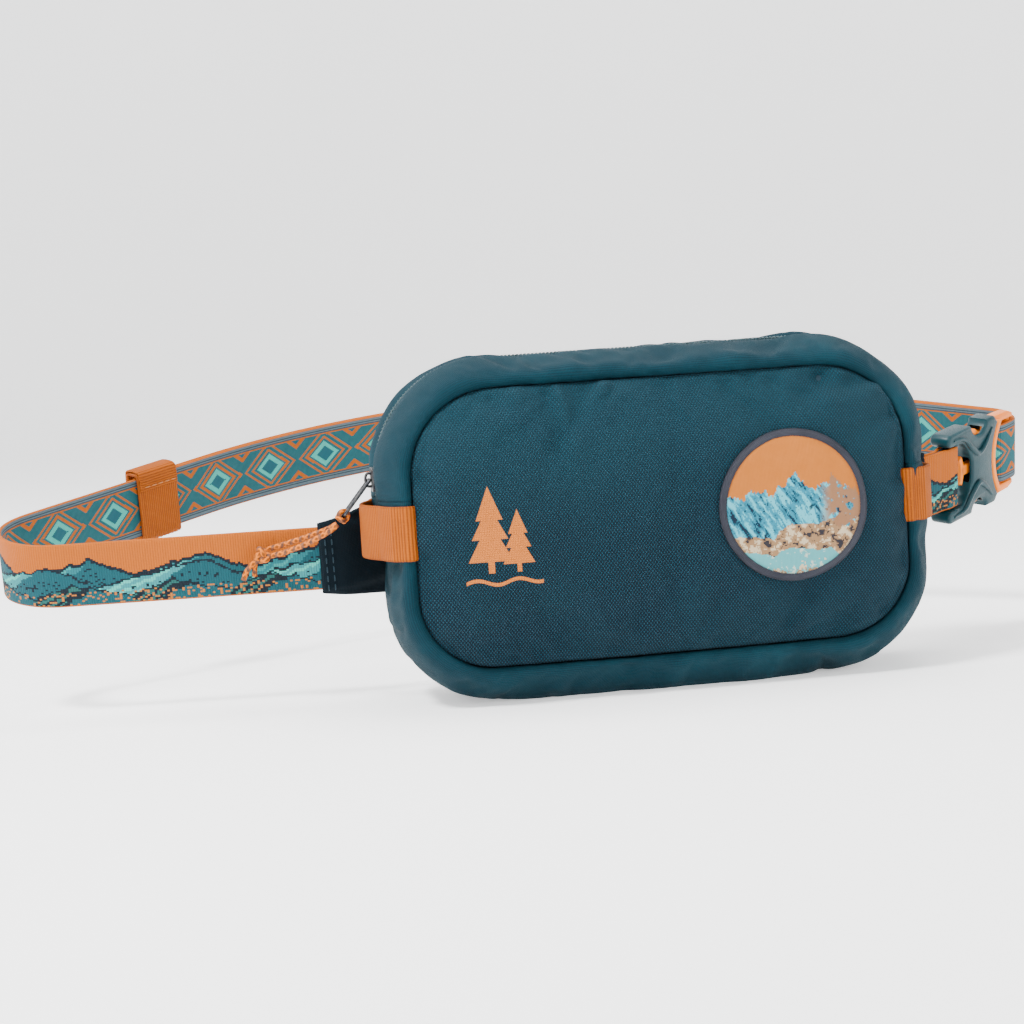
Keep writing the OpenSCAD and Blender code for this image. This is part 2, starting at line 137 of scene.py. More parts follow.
# The points at distances "at" along a line whose own points lie at distances s
def points_at(line, s, at):
    p = np.array(line, float)
    return np.array([[np.interp(x, s, p[:, c]) for c in range(p.shape[1])] for x in at])


def units(vectors):
    return vectors / np.linalg.norm(vectors, axis=1)[:, None]


# Points written in millimetres, as a list in metres
def mm(points):
    return [tuple(c * MM for c in p) for p in points]


def apply_modifiers(obj):
    graph = bpy.context.evaluated_depsgraph_get()
    mesh = bpy.data.meshes.new_from_object(obj.evaluated_get(graph))
    obj.modifiers.clear()
    old = obj.data
    obj.data = mesh
    bpy.data.meshes.remove(old)
    return obj


def subdivide(obj):
    obj.modifiers.new("subdivide", "SUBSURF").levels = 1
    return apply_modifiers(obj)


def thicken(obj, thickness, offset=-1):
    solid = obj.modifiers.new("thickness", "SOLIDIFY")
    solid.thickness = thickness
    solid.offset = offset
    solid.use_even_offset = False
    return apply_modifiers(obj)


# Close a mesh with faces on the given loops of points, and turn all faces outwards
def face_outwards(obj, loops=()):
    mesh = bmesh.new()
    mesh.from_mesh(obj.data)
    mesh.verts.ensure_lookup_table()
    for loop in loops:
        mesh.faces.new([mesh.verts[k] for k in loop])
    bmesh.ops.recalc_face_normals(mesh, faces=mesh.faces)
    mesh.to_mesh(obj.data)
    mesh.free()
    return obj


def join(name, objs):
    merged = bmesh.new()
    materials = []
    for obj in objs:
        part = obj.data.copy()
        for slot in range(len(part.materials)):
            if part.materials[slot] not in materials:
                materials.append(part.materials[slot])
        where = [materials.index(m) for m in part.materials]
        index = np.zeros(len(part.polygons), dtype=np.int32)
        part.polygons.foreach_get("material_index", index)
        part.polygons.foreach_set("material_index", [where[k] if where else 0 for k in index])
        part.transform(obj.matrix_world)
        merged.from_mesh(part)
        bpy.data.meshes.remove(part)
        bpy.data.objects.remove(obj)
    mesh = bpy.data.meshes.new(name)
    merged.to_mesh(mesh)
    merged.free()
    for material in materials:
        mesh.materials.append(material)
    result = bpy.data.objects.new(name, mesh)
    bpy.context.scene.collection.objects.link(result)
    return result


# Frames that turn as little as possible along a line of points
def frames(points, closed=False):
    p = np.array(points, float)
    n = len(p)
    if closed:
        tangent = np.roll(p, -1, 0) - np.roll(p, 1, 0)
    else:
        tangent = np.gradient(p, axis=0)
    tangent = units(tangent)
    side = np.cross(tangent[0], [0, 0, 1])
    if np.linalg.norm(side) < 0.2:
        side = np.cross(tangent[0], [0, 1, 0])
    sides = []
    for k in range(n):
        side = side - tangent[k] * side.dot(tangent[k])
        side /= np.linalg.norm(side)
        sides.append(side)
    sides = np.array(sides)
    return p, tangent, sides, np.cross(tangent, sides)


def tube_rows(points, radius, sides=8, closed=False):
    p, _, a, b = frames(points, closed)
    turn = np.linspace(0, 2 * math.pi, sides, endpoint=False)
    r = np.broadcast_to(radius, (len(p),))
    return [[p[k] + r[k] * (math.cos(t) * a[k] + math.sin(t) * b[k]) for t in turn]
            for k in range(len(p))]


def tube(name, points, radius, material, sides=8, closed=False):
    rows = tube_rows(points, radius, sides, closed)
    u = lengths(list(points) + ([points[0]] if closed else []))
    v = np.linspace(0, 2 * math.pi * float(np.mean(radius)), sides + 1)
    return grid(name, rows, [material], u, v, wrap_rows=closed, wrap_columns=True,
                caps=not closed)


# A smooth line through control points
def smooth_line(points, per_span=6):
    p = np.array(points, float)
    p = np.vstack([2 * p[0] - p[1], p, 2 * p[-1] - p[-2]])
    out = []
    for k in range(1, len(p) - 2):
        for t in np.linspace(0, 1, per_span, endpoint=False):
            a, b, c, d = p[k - 1], p[k], p[k + 1], p[k + 2]
            out.append(0.5 * (2 * b + (c - a) * t + (2 * a - 5 * b + 4 * c - d) * t ** 2
                              + (3 * b - a - 3 * c + d) * t ** 3))
    return np.array(out + [p[-2]])


# Short stitches along a line that lies on a surface with the given normals
def stitches(name, line, normals, material):
    length, space, radius = 2.4 * MM, 0.9 * MM, 0.24 * MM
    s = lengths(line)
    count = max(1, int(s[-1] / (length + space)))
    parts = []
    for k in range(count):
        t = (s[-1] / count) * k + np.linspace(0, length, 5)
        lift = np.array([-0.3, 0.45, 0.7, 0.45, -0.3]) * radius
        points, away = points_at(line, s, t), points_at(normals, s, t)
        width = radius * np.array([0.55, 1, 1.05, 1, 0.55])
        parts.append(tube_rows(points + away * lift[:, None], width, 6))
    verts, faces = [], []
    for rows in parts:
        base = len(verts)
        verts += [p for row in rows for p in row]
        for i in range(4):
            for j in range(6):
                j2 = (j + 1) % 6
                faces.append((base + i * 6 + j, base + i * 6 + j2,
                              base + (i + 1) * 6 + j2, base + (i + 1) * 6 + j))
        faces.append(tuple(base + j for j in range(5, -1, -1)))
        faces.append(tuple(base + 24 + j for j in range(6)))
    return new_object(name, verts, faces, [material])


# ---------------------------------------------------------------- node materials

class Value:
    """A node's output. Ordinary operators on it add Math nodes, and a > b gives 1 or 0."""

    def __init__(self, nodes, socket):
        self.nodes = nodes
        self.socket = socket


def operator(operation, swapped=False):
    def apply(a, b=None):
        return a.nodes.math(operation, b, a) if swapped else a.nodes.math(operation, a, b)
    return apply


for word, operation in (("add", "ADD"), ("sub", "SUBTRACT"), ("mul", "MULTIPLY"),
                        ("truediv", "DIVIDE")):
    setattr(Value, f"__{word}__", operator(operation))
    setattr(Value, f"__r{word}__", operator(operation, swapped=True))
Value.__gt__ = operator("GREATER_THAN")
Value.__lt__ = operator("LESS_THAN")
Value.__abs__ = operator("ABSOLUTE")


class Nodes:
    """A short way to write shader nodes: every call adds a node and returns its output."""

    def __init__(self, name):
        self.material = bpy.data.materials.new(name)
        self.material.use_nodes = True
        self.tree = self.material.node_tree
        self.tree.nodes.clear()

    def add(self, kind, inputs=(), **settings):
        node = self.tree.nodes.new(kind)
        for key, value in settings.items():
            setattr(node, key, value)
        for key, value in (inputs.items() if isinstance(inputs, dict) else enumerate(inputs)):
            if value is None:
                continue
            if isinstance(value, Value):
                self.tree.links.new(value.socket, node.inputs[key])
            else:
                node.inputs[key].default_value = value
        return node

    def value(self, kind, inputs=(), output=0, **settings):
        return Value(self, self.add(kind, inputs, **settings).outputs[output])

    def math(self, operation, a, b=None, clamp=False):
        return self.value("ShaderNodeMath", [a, b], operation=operation, use_clamp=clamp)

    def sine(self, a):
        return self.math("SINE", a)

    def snap(self, a, step):
        return self.math("SNAP", a, step)

    def mix(self, factor, a, b, blend="MIX"):
        a, b = (value if isinstance(value, Value) else (*value, 1) for value in (a, b))
        return self.value("ShaderNodeMix", {0: factor, 6: a, 7: b}, 2, data_type="RGBA",
                          blend_type=blend)

    def step(self, value, low, high):
        return self.value("ShaderNodeMapRange", [value, low, high, 0.0, 1.0],
                          interpolation_type="SMOOTHSTEP")

    def vector(self, x, y):
        return self.value("ShaderNodeCombineXYZ", [x, y, 0.0])

    def noise(self, vector, scale, detail=3.0, rough=0.55, dimensions="3D"):
        where = "W" if dimensions == "1D" else "Vector"
        return self.value("ShaderNodeTexNoise", {where: vector, "Scale": scale, "Detail": detail,
                                                 "Roughness": rough}, noise_dimensions=dimensions)

    def place(self):
        place = self.value("ShaderNodeTexCoord", output="Object")
        return place, [self.value("ShaderNodeSeparateXYZ", [place], k) for k in range(3)]

    def cloth(self):
        cloth = self.value("ShaderNodeUVMap", uv_map="cloth")
        return [self.value("ShaderNodeSeparateXYZ", [cloth], k) for k in range(2)]

    # Height of a plain weave: rounded threads that pass over and under each other
    def weave(self, u, v, pitch, pitch_v=None):
        a = u * (math.pi / pitch)
        b = v * (math.pi / (pitch_v or pitch))
        warp = abs(self.sine(a))
        weft = abs(self.sine(b))
        cell = self.math("SIGN", self.sine(a)) * self.math("SIGN", self.sine(b))
        over = cell * 0.5 + 0.5
        high = warp * (weft * 0.5 + 0.5)
        flat = weft * (warp * 0.5 + 0.5)
        return self.value("ShaderNodeMix", {0: over, 2: high, 3: flat}), over

    def finish(self, colour, rough, height=None, distance=0.0002, **sockets):
        inputs = {"Base Color": colour, "Roughness": rough}
        if height is not None:
            inputs["Normal"] = self.value("ShaderNodeBump", {"Height": height, "Strength": 1.0,
                                                             "Distance": distance})
        inputs.update({key.replace("_", " "): value for key, value in sockets.items()})
        shader = self.value("ShaderNodeBsdfPrincipled", inputs)
        self.add("ShaderNodeOutputMaterial", [shader])
        return self.material


# Tree tiers and a hill line, printed in one ink: 1 inside, 0 outside
def motif(n, x, z):
    inside = None
    trees = ((-65.5, 50.0, 1.0), (-55.5, 50.0, 0.72))
    for centre, foot, size in trees:
        away = abs(x - centre * MM)
        tiers = ((0, 15, 8.2), (8, 21, 6.6), (15, 27.5, 5.0))
        for low, high, half in tiers:
            low_z, high_z = (foot + (low + 4) * size) * MM, (foot + (high + 4) * size) * MM
            slope = half / (high - low)
            room = (high_z - z) * slope
            tier = (n.step(room - away, 0.0, 0.25 * MM)
                    * n.step(z, low_z - 0.15 * MM, low_z + 0.15 * MM))
            inside = tier if inside is None else n.math("MAXIMUM", inside, tier)
        trunk = (n.step(away, 1.25 * size * MM, 1.0 * size * MM)
                 * (n.step(z, (foot - 0.2) * MM, foot * MM)
                    * n.step(z, (foot + 5) * MM, (foot + 4.5) * MM)))
        inside = n.math("MAXIMUM", inside, trunk)
    wave = n.sine(x * 420.0) * (0.9 * MM)
    ground = abs(z - 46.6 * MM - wave)
    line = (n.step(ground, 0.75 * MM, 0.55 * MM)
            * (n.step(x, -75 * MM, -74.7 * MM) * n.step(x, -47 * MM, -47.3 * MM)))
    return n.math("MAXIMUM", inside, line)


def canvas_material():
    n = Nodes("canvas")
    place, (x, _, z) = n.place()
    slub = n.noise(place, 900.0, 2.0)
    weave, over = n.weave(x + slub * 0.00012, z + slub * 0.00012, 0.6 * MM, 0.8 * MM)
    wide = n.noise(place, 22.0, 4.0)
    fine = n.noise(place, 1400.0, 2.0)
    raised = weave * (1.0 - over)
    body = n.mix(weave, (0.0002, 0.0020, 0.0045), (0.0008, 0.0088, 0.0165))
    body = n.mix(raised * (fine * 0.9 + 0.25), body, (0.008, 0.058, 0.09))
    # painted light: the upper part of the canvas is mixed towards a lighter colour, as if lit from
    # above
    painted_top_light = n.step(z, 0.04, 0.13)
    body = n.mix(painted_top_light * 0.36, body, (0.006, 0.046, 0.064))
    body = n.mix(n.step(wide, 0.35, 0.75) * 0.18, body, (0.006, 0.04, 0.055))
    ink = motif(n, x, z) * n.math("ADD", weave * 0.3, 0.72, clamp=True)
    body = n.mix(ink, body, (0.55, 0.155, 0.022))
    height = weave + fine * 0.25
    return n.finish(body, 0.82, height, 0.00028, Specular_IOR_Level=0.14)


def cloth_material(name, dark, light, pitch=0.5 * MM, rough=0.7, bump=0.00016,
                   worn=(0.008, 0.055, 0.075), worn_amount=0.35):
    n = Nodes(name)
    place, _ = n.place()
    u, v = n.cloth()
    weave, _ = n.weave(u, v, pitch)
    wide = n.noise(place, 35.0, 4.0)
    fine = n.noise(place, 1600.0, 2.0)
    body = n.mix(weave, dark, light)
    body = n.mix(n.step(wide, 0.45, 0.8) * worn_amount, body, worn)
    body = n.mix(n.step(fine, 0.62, 0.75) * 0.3, body, worn)
    height = weave + fine * 0.2
    return n.finish(body, rough, height, bump, Specular_IOR_Level=0.1)


# Ribbed tape: ribs across its length, with slightly different threads and thin edges
def tape_material(name, dark, light, half_width, pitch=1.15 * MM):
    n = Nodes(name)
    place, _ = n.place()
    u, v = n.cloth()
    fine = n.noise(place, 1500.0, 2.0)
    wide = n.noise(place, 60.0, 3.0)
    bent = u + fine * 0.00012
    rib = abs(n.sine(bent * (math.pi / pitch)))
    thread = abs(n.sine(v * (math.pi / (0.55 * MM))))
    height = rib * (thread * 0.35 + 0.65)
    body = n.mix(height, dark, light)
    body = n.mix(n.step(wide, 0.35, 0.75) * 0.35, body, dark)
    body = n.mix(n.step(fine, 0.6, 0.75) * 0.35, body, tuple((min(1, 1.25 * c) for c in light)))
    edge = n.step(abs(v), half_width - 1.0 * MM, half_width - 0.6 * MM)
    body = n.mix(edge * 0.35, body, dark)
    return n.finish(body, 0.8, height, 0.00035, Specular_IOR_Level=0.15)


SKY = (0.46, 0.103, 0.001)
NAVY = (0.0015, 0.007, 0.013)
TEAL = (0.003, 0.070, 0.088)
AQUA = (0.055, 0.46, 0.38)


# Outer face of the belt: hills under an orange sky, woven in steps of one rib and one thread
def belt_outer_material(half_width):
    n = Nodes("belt_outer")
    place, _ = n.place()
    u, v = n.cloth()
    rib, pick = 0.95 * MM, 0.62 * MM
    s = n.snap(u, rib)
    w = n.snap(v, pick)

    # a chain of slanted peaks: each rises slowly on one side and drops steeply on the other
    def ridge(period, height, base, shift, crest=0.62):
        phase = n.math("FRACT", s / period + shift)
        up = phase / crest
        down = (1.0 - phase) / (1 - crest)
        rough = n.noise(s, 260.0, 2.0, dimensions="1D")
        top = n.math("MINIMUM", up, down) * height
        return (top + base + rough * (3.0 * MM), phase)

    far, far_phase = ridge(0.043, 7.0 * MM, -2.6 * MM, 0.13)
    near, near_phase = ridge(0.058, 8.5 * MM, -6.6 * MM, 0.55, 0.7)
    front, front_phase = ridge(0.037, 5.0 * MM, -10.6 * MM, 0.3, 0.4)
    speck = n.noise(n.vector(s, w), 900.0, 1.0)

    def hill(under, top, phase, lit, flank, outline):
        depth = top - w
        inside = depth > 0.0
        slope = phase + depth * 38.0 - 0.62
        shade = n.mix(slope > 0.0, flank, TEAL)
        streak = n.sine(depth * 2100.0 + phase * 26.0)
        glow = (streak > 0.15) * (slope < -0.1)
        shade = n.mix(glow * lit, shade, AQUA)
        dark = (speck > 0.6) * (depth > 4 * MM)
        shade = n.mix(dark, shade, NAVY)
        shade = n.mix(depth < outline, shade, NAVY)
        return n.mix(inside, under, shade)

    body = n.mix(n.noise(place, 500.0) * 0.25, SKY, (0.46, 0.11, 0.002))
    body = hill(body, far, far_phase, 0.35, (0.012, 0.15, 0.17), 1.3 * MM)
    body = hill(body, near, near_phase, 1.0, (0.03, 0.24, 0.25), 0.9 * MM)
    body = hill(body, front, front_phase, 0.2, NAVY, 0.7 * MM)
    low = w < -half_width + 5.2 * MM
    dots = low * (speck > 0.585)
    body = n.mix(dots, body, (0.42, 0.14, 0.02))
    edge = abs(v) > half_width - 0.75 * MM
    body = n.mix(edge, body, SKY)
    return belt_finish(n, place, u, v, body, rib, pick)


# Inner face: a chain of diamonds between lined edge bands
def belt_inner_material(half_width):
    n = Nodes("belt_inner")
    place, _ = n.place()
    u, v = n.cloth()
    rib, pick = 0.6 * MM, 0.5 * MM
    s = n.snap(u, rib)
    w = n.snap(v, pick)
    period = 28 * MM
    across = abs(w) / (8.6 * MM)
    along = n.math("PINGPONG", s, period / 2) / (10.5 * MM)
    other = n.math("PINGPONG", s + period / 2, period / 2) / (10.5 * MM)
    ring = across + along
    counter = 1.0 - across + other

    def band(value, low, high):
        return (value > low) * (value < high)

    body = n.mix(n.noise(place, 500.0), (0.009, 0.085, 0.105), (0.015, 0.125, 0.14))
    body = n.mix(band(ring, 0.80, 0.94), body, SKY)
    body = n.mix(band(ring, 1.14, 1.26), body, SKY)
    body = n.mix(band(ring, 0.40, 0.66), body, AQUA)
    body = n.mix(ring < 0.4, body, (0.01, 0.1, 0.13))
    body = n.mix((counter < 0.42) * (ring > 1.26), body, SKY)
    body = n.mix((counter < 0.2) * (ring > 1.26), body, (0.01, 0.1, 0.13))
    away = abs(w)
    body = n.mix(away > 8.7 * MM, body, SKY)
    body = n.mix(away > 9.4 * MM, body, (0.1, 0.145, 0.17))
    lines = n.sine(away * (2 * math.pi / 0.0013)) > 0.45
    body = n.mix(lines * (away > 9.5 * MM), body, (0.035, 0.06, 0.075))
    body = n.mix(abs(v) > half_width - 0.6 * MM, body, SKY)
    return belt_finish(n, place, u, v, body, rib, pick)


def belt_finish(n, place, u, v, body, rib, pick):
    ribs = abs(n.sine(u * (math.pi / rib)))
    picks = abs(n.sine(v * (math.pi / pick)))
    height = (ribs * 0.7 + 0.3) * (picks * 0.35 + 0.65)
    # painted shade: the low parts between ribs and picks are darkened
    body = n.mix((1.0 - height) * 0.55, body, n.mix(1.0, body, (0.3, 0.3, 0.34), "MULTIPLY"))
    body = n.mix(n.noise(place, 1300.0, 2.0) * 0.22, body, (0.02, 0.03, 0.035))
    return n.finish(body, 0.72, height, 0.00025, Specular_IOR_Level=0.15)


# The patch's woven picture: a made-up range of hills by a lake, with sky, snow and rocks
def patch_material(centre_x, centre_z, radius):
    n = Nodes("patch")
    place, (x, _, z) = n.place()
    grain = 0.42 * MM
    s = n.snap(x - centre_x, grain) / radius
    h = n.snap(z - centre_z, grain) / radius
    spot = n.vector(s, h)
    rough = n.noise(s + 4.0, 3.4, 6.0, 0.66, dimensions="1D")
    broad = n.noise(s + 9.0, 1.3, 3.0, dimensions="1D")
    streaks = n.noise(n.vector(s * 9.0 + h * 5.0, h * 2.6), 1.0, 4.0, 0.7)
    patches = n.noise(spot, 6.5, 5.0, 0.68)
    body = n.mix(n.noise(place, 260.0) * 0.5, (0.5, 0.145, 0.016), (0.62, 0.2, 0.03))
    peaks = (rough - 0.5) * 0.62 + (0.3 - abs(s - 0.12) * 0.18)
    rock = n.mix(n.step(streaks, 0.40, 0.46), (0.008, 0.020, 0.040), (0.020, 0.23, 0.33))
    rock = n.mix(n.step(streaks, 0.50, 0.55), rock, (0.10, 0.52, 0.62))
    rock = n.mix(n.step(patches, 0.60, 0.64), rock, (0.006, 0.018, 0.035))
    rock = n.mix(n.step(s, 0.3, 0.5) * n.step(patches, 0.42, 0.46), rock, (0.3, 0.15, 0.075))
    body = n.mix(h < peaks, body, rock)
    slope = s * 0.16 + -0.3 + (broad - 0.5) * 0.7
    ground = n.mix(n.step(patches, 0.44, 0.47), (0.62, 0.50, 0.32), (0.33, 0.19, 0.09))
    ground = n.mix(n.step(patches, 0.55, 0.58), ground, (0.030, 0.028, 0.035))
    body = n.mix(h < slope, body, ground)
    shore = -0.6 + (broad - 0.5) * 0.5
    water = n.mix(n.step(patches, 0.56, 0.60), (0.10, 0.40, 0.42), (0.52, 0.62, 0.52))
    pool = (h < shore) * (h + (patches - 0.5) * 0.8 > -0.86)
    body = n.mix(pool, body, water)
    weave, _ = n.weave(x, z, 0.5 * MM, 0.42 * MM)
    # painted shade: the low parts between the threads are darkened
    body = n.mix((1.0 - weave) * 0.3, body, n.mix(1.0, body, (0.35, 0.33, 0.33), "MULTIPLY"))
    return n.finish(body, 0.78, weave, 0.00022, Specular_IOR_Level=0.15)


# Satin thread laid side by side, along u or along v of the cloth map
def thread_material(name, dark, light, pitch, along_u=False, rough=0.55):
    n = Nodes(name)
    place, _ = n.place()
    u, v = n.cloth()
    run = u if along_u else v
    thread = abs(n.sine(run * (math.pi / pitch)))
    fuzz = n.noise(place, 1800.0, 2.0)
    body = n.mix(thread, dark, light)
    body = n.mix(n.step(n.noise(place, 160.0), 0.4, 0.7) * 0.3, body, dark)
    height = thread + fuzz * 0.4
    return n.finish(body, rough, height, 0.00018, Specular_IOR_Level=0.2)


# Two colours of yarn spiralling both ways around a cord
def braid_material(name, base, fleck, turns_per_metre=330.0, strands=6.0):
    n = Nodes(name)
    place, _ = n.place()
    u, v = n.cloth()
    a = u * (turns_per_metre * math.pi * 2) + v * (strands / (2 * MM))
    b = u * (turns_per_metre * math.pi * 2) - v * (strands / (2 * MM))
    one, two = (n.sine(a), n.sine(b))
    height = n.math("MAXIMUM", one, two)
    mark = n.sine(u * 1450.0 + v * 700.0) > 0.55
    body = n.mix(n.step(height, -0.2, 0.9), tuple(0.35 * c for c in base), base)
    body = n.mix(mark * 0.75, body, fleck)
    body = n.mix(n.noise(place, 1500.0, 2.0) * 0.25, body, tuple((0.5 * c for c in base)))
    return n.finish(body, 0.7, height, 0.00016, Specular_IOR_Level=0.2)


def moulded_material(name, colour, light):
    n = Nodes(name)
    place, _ = n.place()
    grain = n.noise(place, 2600.0, 2.0)
    wide = n.noise(place, 120.0, 3.0)
    body = n.mix(n.step(wide, 0.3, 0.75) * 0.5, colour, light)
    stretched = n.value("ShaderNodeMapping", {"Vector": place, "Scale": (9, 1, 1)})
    scratch = n.noise(stretched, 420.0, 3.0)
    rough = 0.33 + n.step(scratch, 0.45, 0.75) * 0.2
    height = grain + scratch * 0.3
    return n.finish(body, rough, height, 0.00006, Specular_IOR_Level=0.22)


def metal_material():
    n = Nodes("gunmetal")
    place, _ = n.place()
    wear = n.noise(place, 900.0, 4.0)
    body = n.mix(n.step(wear, 0.45, 0.75), (0.035, 0.037, 0.043), (0.11, 0.105, 0.10))
    rough = 0.24 + wear * 0.28
    return n.finish(body, rough, wear, 0.00005, Metallic=0.95)


def mesh_fabric_material():
    n = Nodes("back_fabric")
    u, v = n.cloth()
    pitch = 2.6 * MM
    a = n.sine((u + v) * (math.pi / pitch))
    b = n.sine((u - v) * (math.pi / pitch))
    hole = n.step(abs(a * b), 0.45, 0.75)
    knit, _ = n.weave(u, v, 0.55 * MM)
    body = n.mix(knit, (0.008, 0.022, 0.032), (0.020, 0.052, 0.070))
    body = n.mix(hole, body, (0.002, 0.005, 0.008))
    height = knit * 0.4 - hole
    return n.finish(body, 0.85, height, 0.0006, Specular_IOR_Level=0.15)


BELT_HALF = 12.5 * MM
TAB_HALF = 10 * MM
patch_low, patch_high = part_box("patch_border")
PATCH_X = (patch_low.x + patch_high.x) / 2
PATCH_Z = (patch_low.z + patch_high.z) / 2
PATCH_R = (patch_high.x - patch_low.x) / 2

CANVAS = canvas_material()
GUSSET = cloth_material("gusset_fabric", (0.0004, 0.0090, 0.0150), (0.0022, 0.0300, 0.0440))
WING = cloth_material("wing_fabric", (0.0002, 0.0020, 0.0042), (0.0007, 0.0075, 0.0130),
                      0.6 * MM, worn=(0.002, 0.013, 0.020), worn_amount=0.25)
LINING = cloth_material("lining", (0.006, 0.014, 0.022), (0.020, 0.040, 0.055), 0.35 * MM, 0.6,
                        0.00008)
BINDING = cloth_material("binding", (0.004, 0.012, 0.018), (0.014, 0.035, 0.045), 0.8 * MM)
ZIP_TAPE = cloth_material("zip_tape", (0.006, 0.026, 0.036), (0.018, 0.060, 0.075), 0.45 * MM)
BACK = mesh_fabric_material()
FOAM = cloth_material("foam", (0.05, 0.055, 0.06), (0.10, 0.105, 0.11), 1.4 * MM, 0.9)
ORANGE_TAPE = tape_material("orange_tape", (0.17, 0.032, 0.001), (0.40, 0.095, 0.003), TAB_HALF)
KEEPER_TAPE = tape_material("keeper_tape", (0.17, 0.034, 0.001), (0.42, 0.095, 0.003), 1,
                            1.0 * MM)
BELT_OUTER = belt_outer_material(BELT_HALF)
BELT_INNER = belt_inner_material(BELT_HALF)
PATCH = patch_material(PATCH_X, PATCH_Z, PATCH_R)
PATCH_EDGE = thread_material("patch_border", (0.008, 0.009, 0.014), (0.034, 0.036, 0.050),
                             0.55 * MM, along_u=True)
COIL = thread_material("zip_coil", (0.010, 0.030, 0.036), (0.045, 0.095, 0.105), 0.4 * MM,
                       rough=0.35)
THREAD = thread_material("navy_thread", (0.010, 0.028, 0.040), (0.035, 0.075, 0.095), 0.25 * MM)
ORANGE_THREAD = thread_material("orange_thread", (0.42, 0.15, 0.04), (0.75, 0.36, 0.13),
                                0.25 * MM)
CORD = braid_material("cord", (0.62, 0.150, 0.005), (0.020, 0.035, 0.040))
BUCKLE_TEAL = moulded_material("buckle_teal", (0.0008, 0.024, 0.031), (0.0018, 0.036, 0.045))
BUCKLE_ORANGE = moulded_material("buckle_orange", (0.72, 0.165, 0.003), (0.80, 0.210, 0.006))
METAL = metal_material()


# ---------------------------------------------------------------- outlines of the pouch

panel_low, panel_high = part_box("front_panel")
_, crest_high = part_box("lower_gusset")
_, top_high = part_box("front_gusset")
tab_low, tab_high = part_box("left_tab")
TAB_Z = (tab_low.z + tab_high.z) / 2
PANEL_HALF = panel_high.x + 2.5 * MM
PANEL_BOTTOM, PANEL_TOP = panel_low.z - 3 * MM, panel_high.z
CREST_HALF = crest_high.x
CREST_TOP = top_high.z
SEAM_Y = 28 * MM
FLAT_Y = 10 * MM
ZIP_END = 77 * MM
R_TOP = (34 * MM, 42 * MM)            # corner radii at the seam and at the crest
R_BOTTOM = (30 * MM, 38 * MM)
ACROSS, UP = 104, 60                  # mesh steps along the panel's long and short sides


def bulge(y):
    y = abs(y)
    return 1.0 if y <= FLAT_Y else max(0.0, 1 - ((y - FLAT_Y) / (SEAM_Y - FLAT_Y)) ** 2)


# One side of an outline from the middle of one corner to the middle of the next
def outline_side(corners, steps):
    (c0, r0, a0), (c1, r1, a1) = corners
    pts = [(c0[0] + r0 * math.cos(a), c0[1] + r0 * math.sin(a))
           for a in np.linspace(a0, a0 + math.pi / 4, 13)]
    pts += [(c1[0] + r1 * math.cos(a), c1[1] + r1 * math.sin(a))
            for a in np.linspace(a1 - math.pi / 4, a1, 13)]
    s = lengths(pts)
    p = np.array(pts)
    return [(np.interp(t, s, p[:, 0]), np.interp(t, s, p[:, 1]))
            for t in np.linspace(0, s[-1], steps + 1)[:-1]]


def smooth_step(value, low, high):
    k = min(1.0, max(0.0, (value - low) / (high - low)))
    return k * k * (3 - 2 * k)


# Where stuffing pushes the outline: fuller on the right, slimmer below the zip on the left, and
# lifted off the ground towards the lower corners
def stuffed(x, z, t):
    share = abs(x) / CREST_HALF
    if x > 0:
        shift = 2.2 * MM * share ** 4
    else:
        shift = 3.0 * MM * t * share ** 4 * (1 - smooth_step(z, 60 * MM, 80 * MM))
    lift = 3.2 * MM * share ** 2 * max(0.0, 1 - z / (45 * MM)) * (0.4 + 0.6 * t)
    return x + shift, z + lift


# The outline with bulge t moved inwards by d, counterclockwise seen from the front, from the
# bottom left corner: bottom, right, top, left
def outline(t, d=0.0):
    half = PANEL_HALF + (CREST_HALF - PANEL_HALF) * t - d
    low = PANEL_BOTTOM * (1 - t) + d
    high = PANEL_TOP + (CREST_TOP - PANEL_TOP) * t - d
    rt = max(2 * MM, R_TOP[0] + (R_TOP[1] - R_TOP[0]) * t - d)
    rb = max(2 * MM, R_BOTTOM[0] + (R_BOTTOM[1] - R_BOTTOM[0]) * t - d)
    q = math.pi / 4
    bl = ((rb - half, low + rb), rb, 5 * q)
    br = ((half - rb, low + rb), rb, 7 * q)
    tr = ((half - rt, high - rt), rt, q)
    tl = ((rt - half, high - rt), rt, 3 * q)
    points = (outline_side((bl, br), ACROSS) + outline_side((br, (tr[0], rt, 9 * q)), UP)
              + outline_side((tr, tl), ACROSS) + outline_side((tl, bl), UP))
    return np.array([stuffed(x, z, t) for x, z in points])


RIM = 2 * (ACROSS + UP)
CREST = outline(1.0)
RIGHT_END = ACROSS + int(np.argmin([abs(CREST[ACROSS + k][1] - ZIP_END) for k in range(UP)]))
LEFT_END = 2 * ACROSS + UP + int(np.argmin(
    [abs(CREST[2 * ACROSS + UP + k][1] - ZIP_END) for k in range(UP)]))


def rim_row(t, y, d=0.0):
    row = outline(t, d)
    row[RIGHT_END][1] = ZIP_END
    row[LEFT_END][1] = ZIP_END
    return [Vector((p[0], y, p[1])) for p in row]


# The points inside an outline, on a grid whose edge is the outline itself
def fill_rows(edge):
    bottom = [edge[k] for k in range(ACROSS + 1)]
    right = [edge[ACROSS + k] for k in range(UP + 1)]
    top = [edge[2 * ACROSS + UP - k] for k in range(ACROSS + 1)]
    left = [edge[(RIM - k) % RIM] for k in range(UP + 1)]
    rows = []
    for j in range(UP + 1):
        v = j / UP
        row = []
        for i in range(ACROSS + 1):
            u = i / ACROSS
            row.append((1 - v) * bottom[i] + v * top[i] + (1 - u) * left[j] + u * right[j]
                       - ((1 - u) * (1 - v) * bottom[0] + u * (1 - v) * bottom[-1]
                          + (1 - u) * v * top[0] + u * v * top[-1]))
        rows.append(row)
    return rows


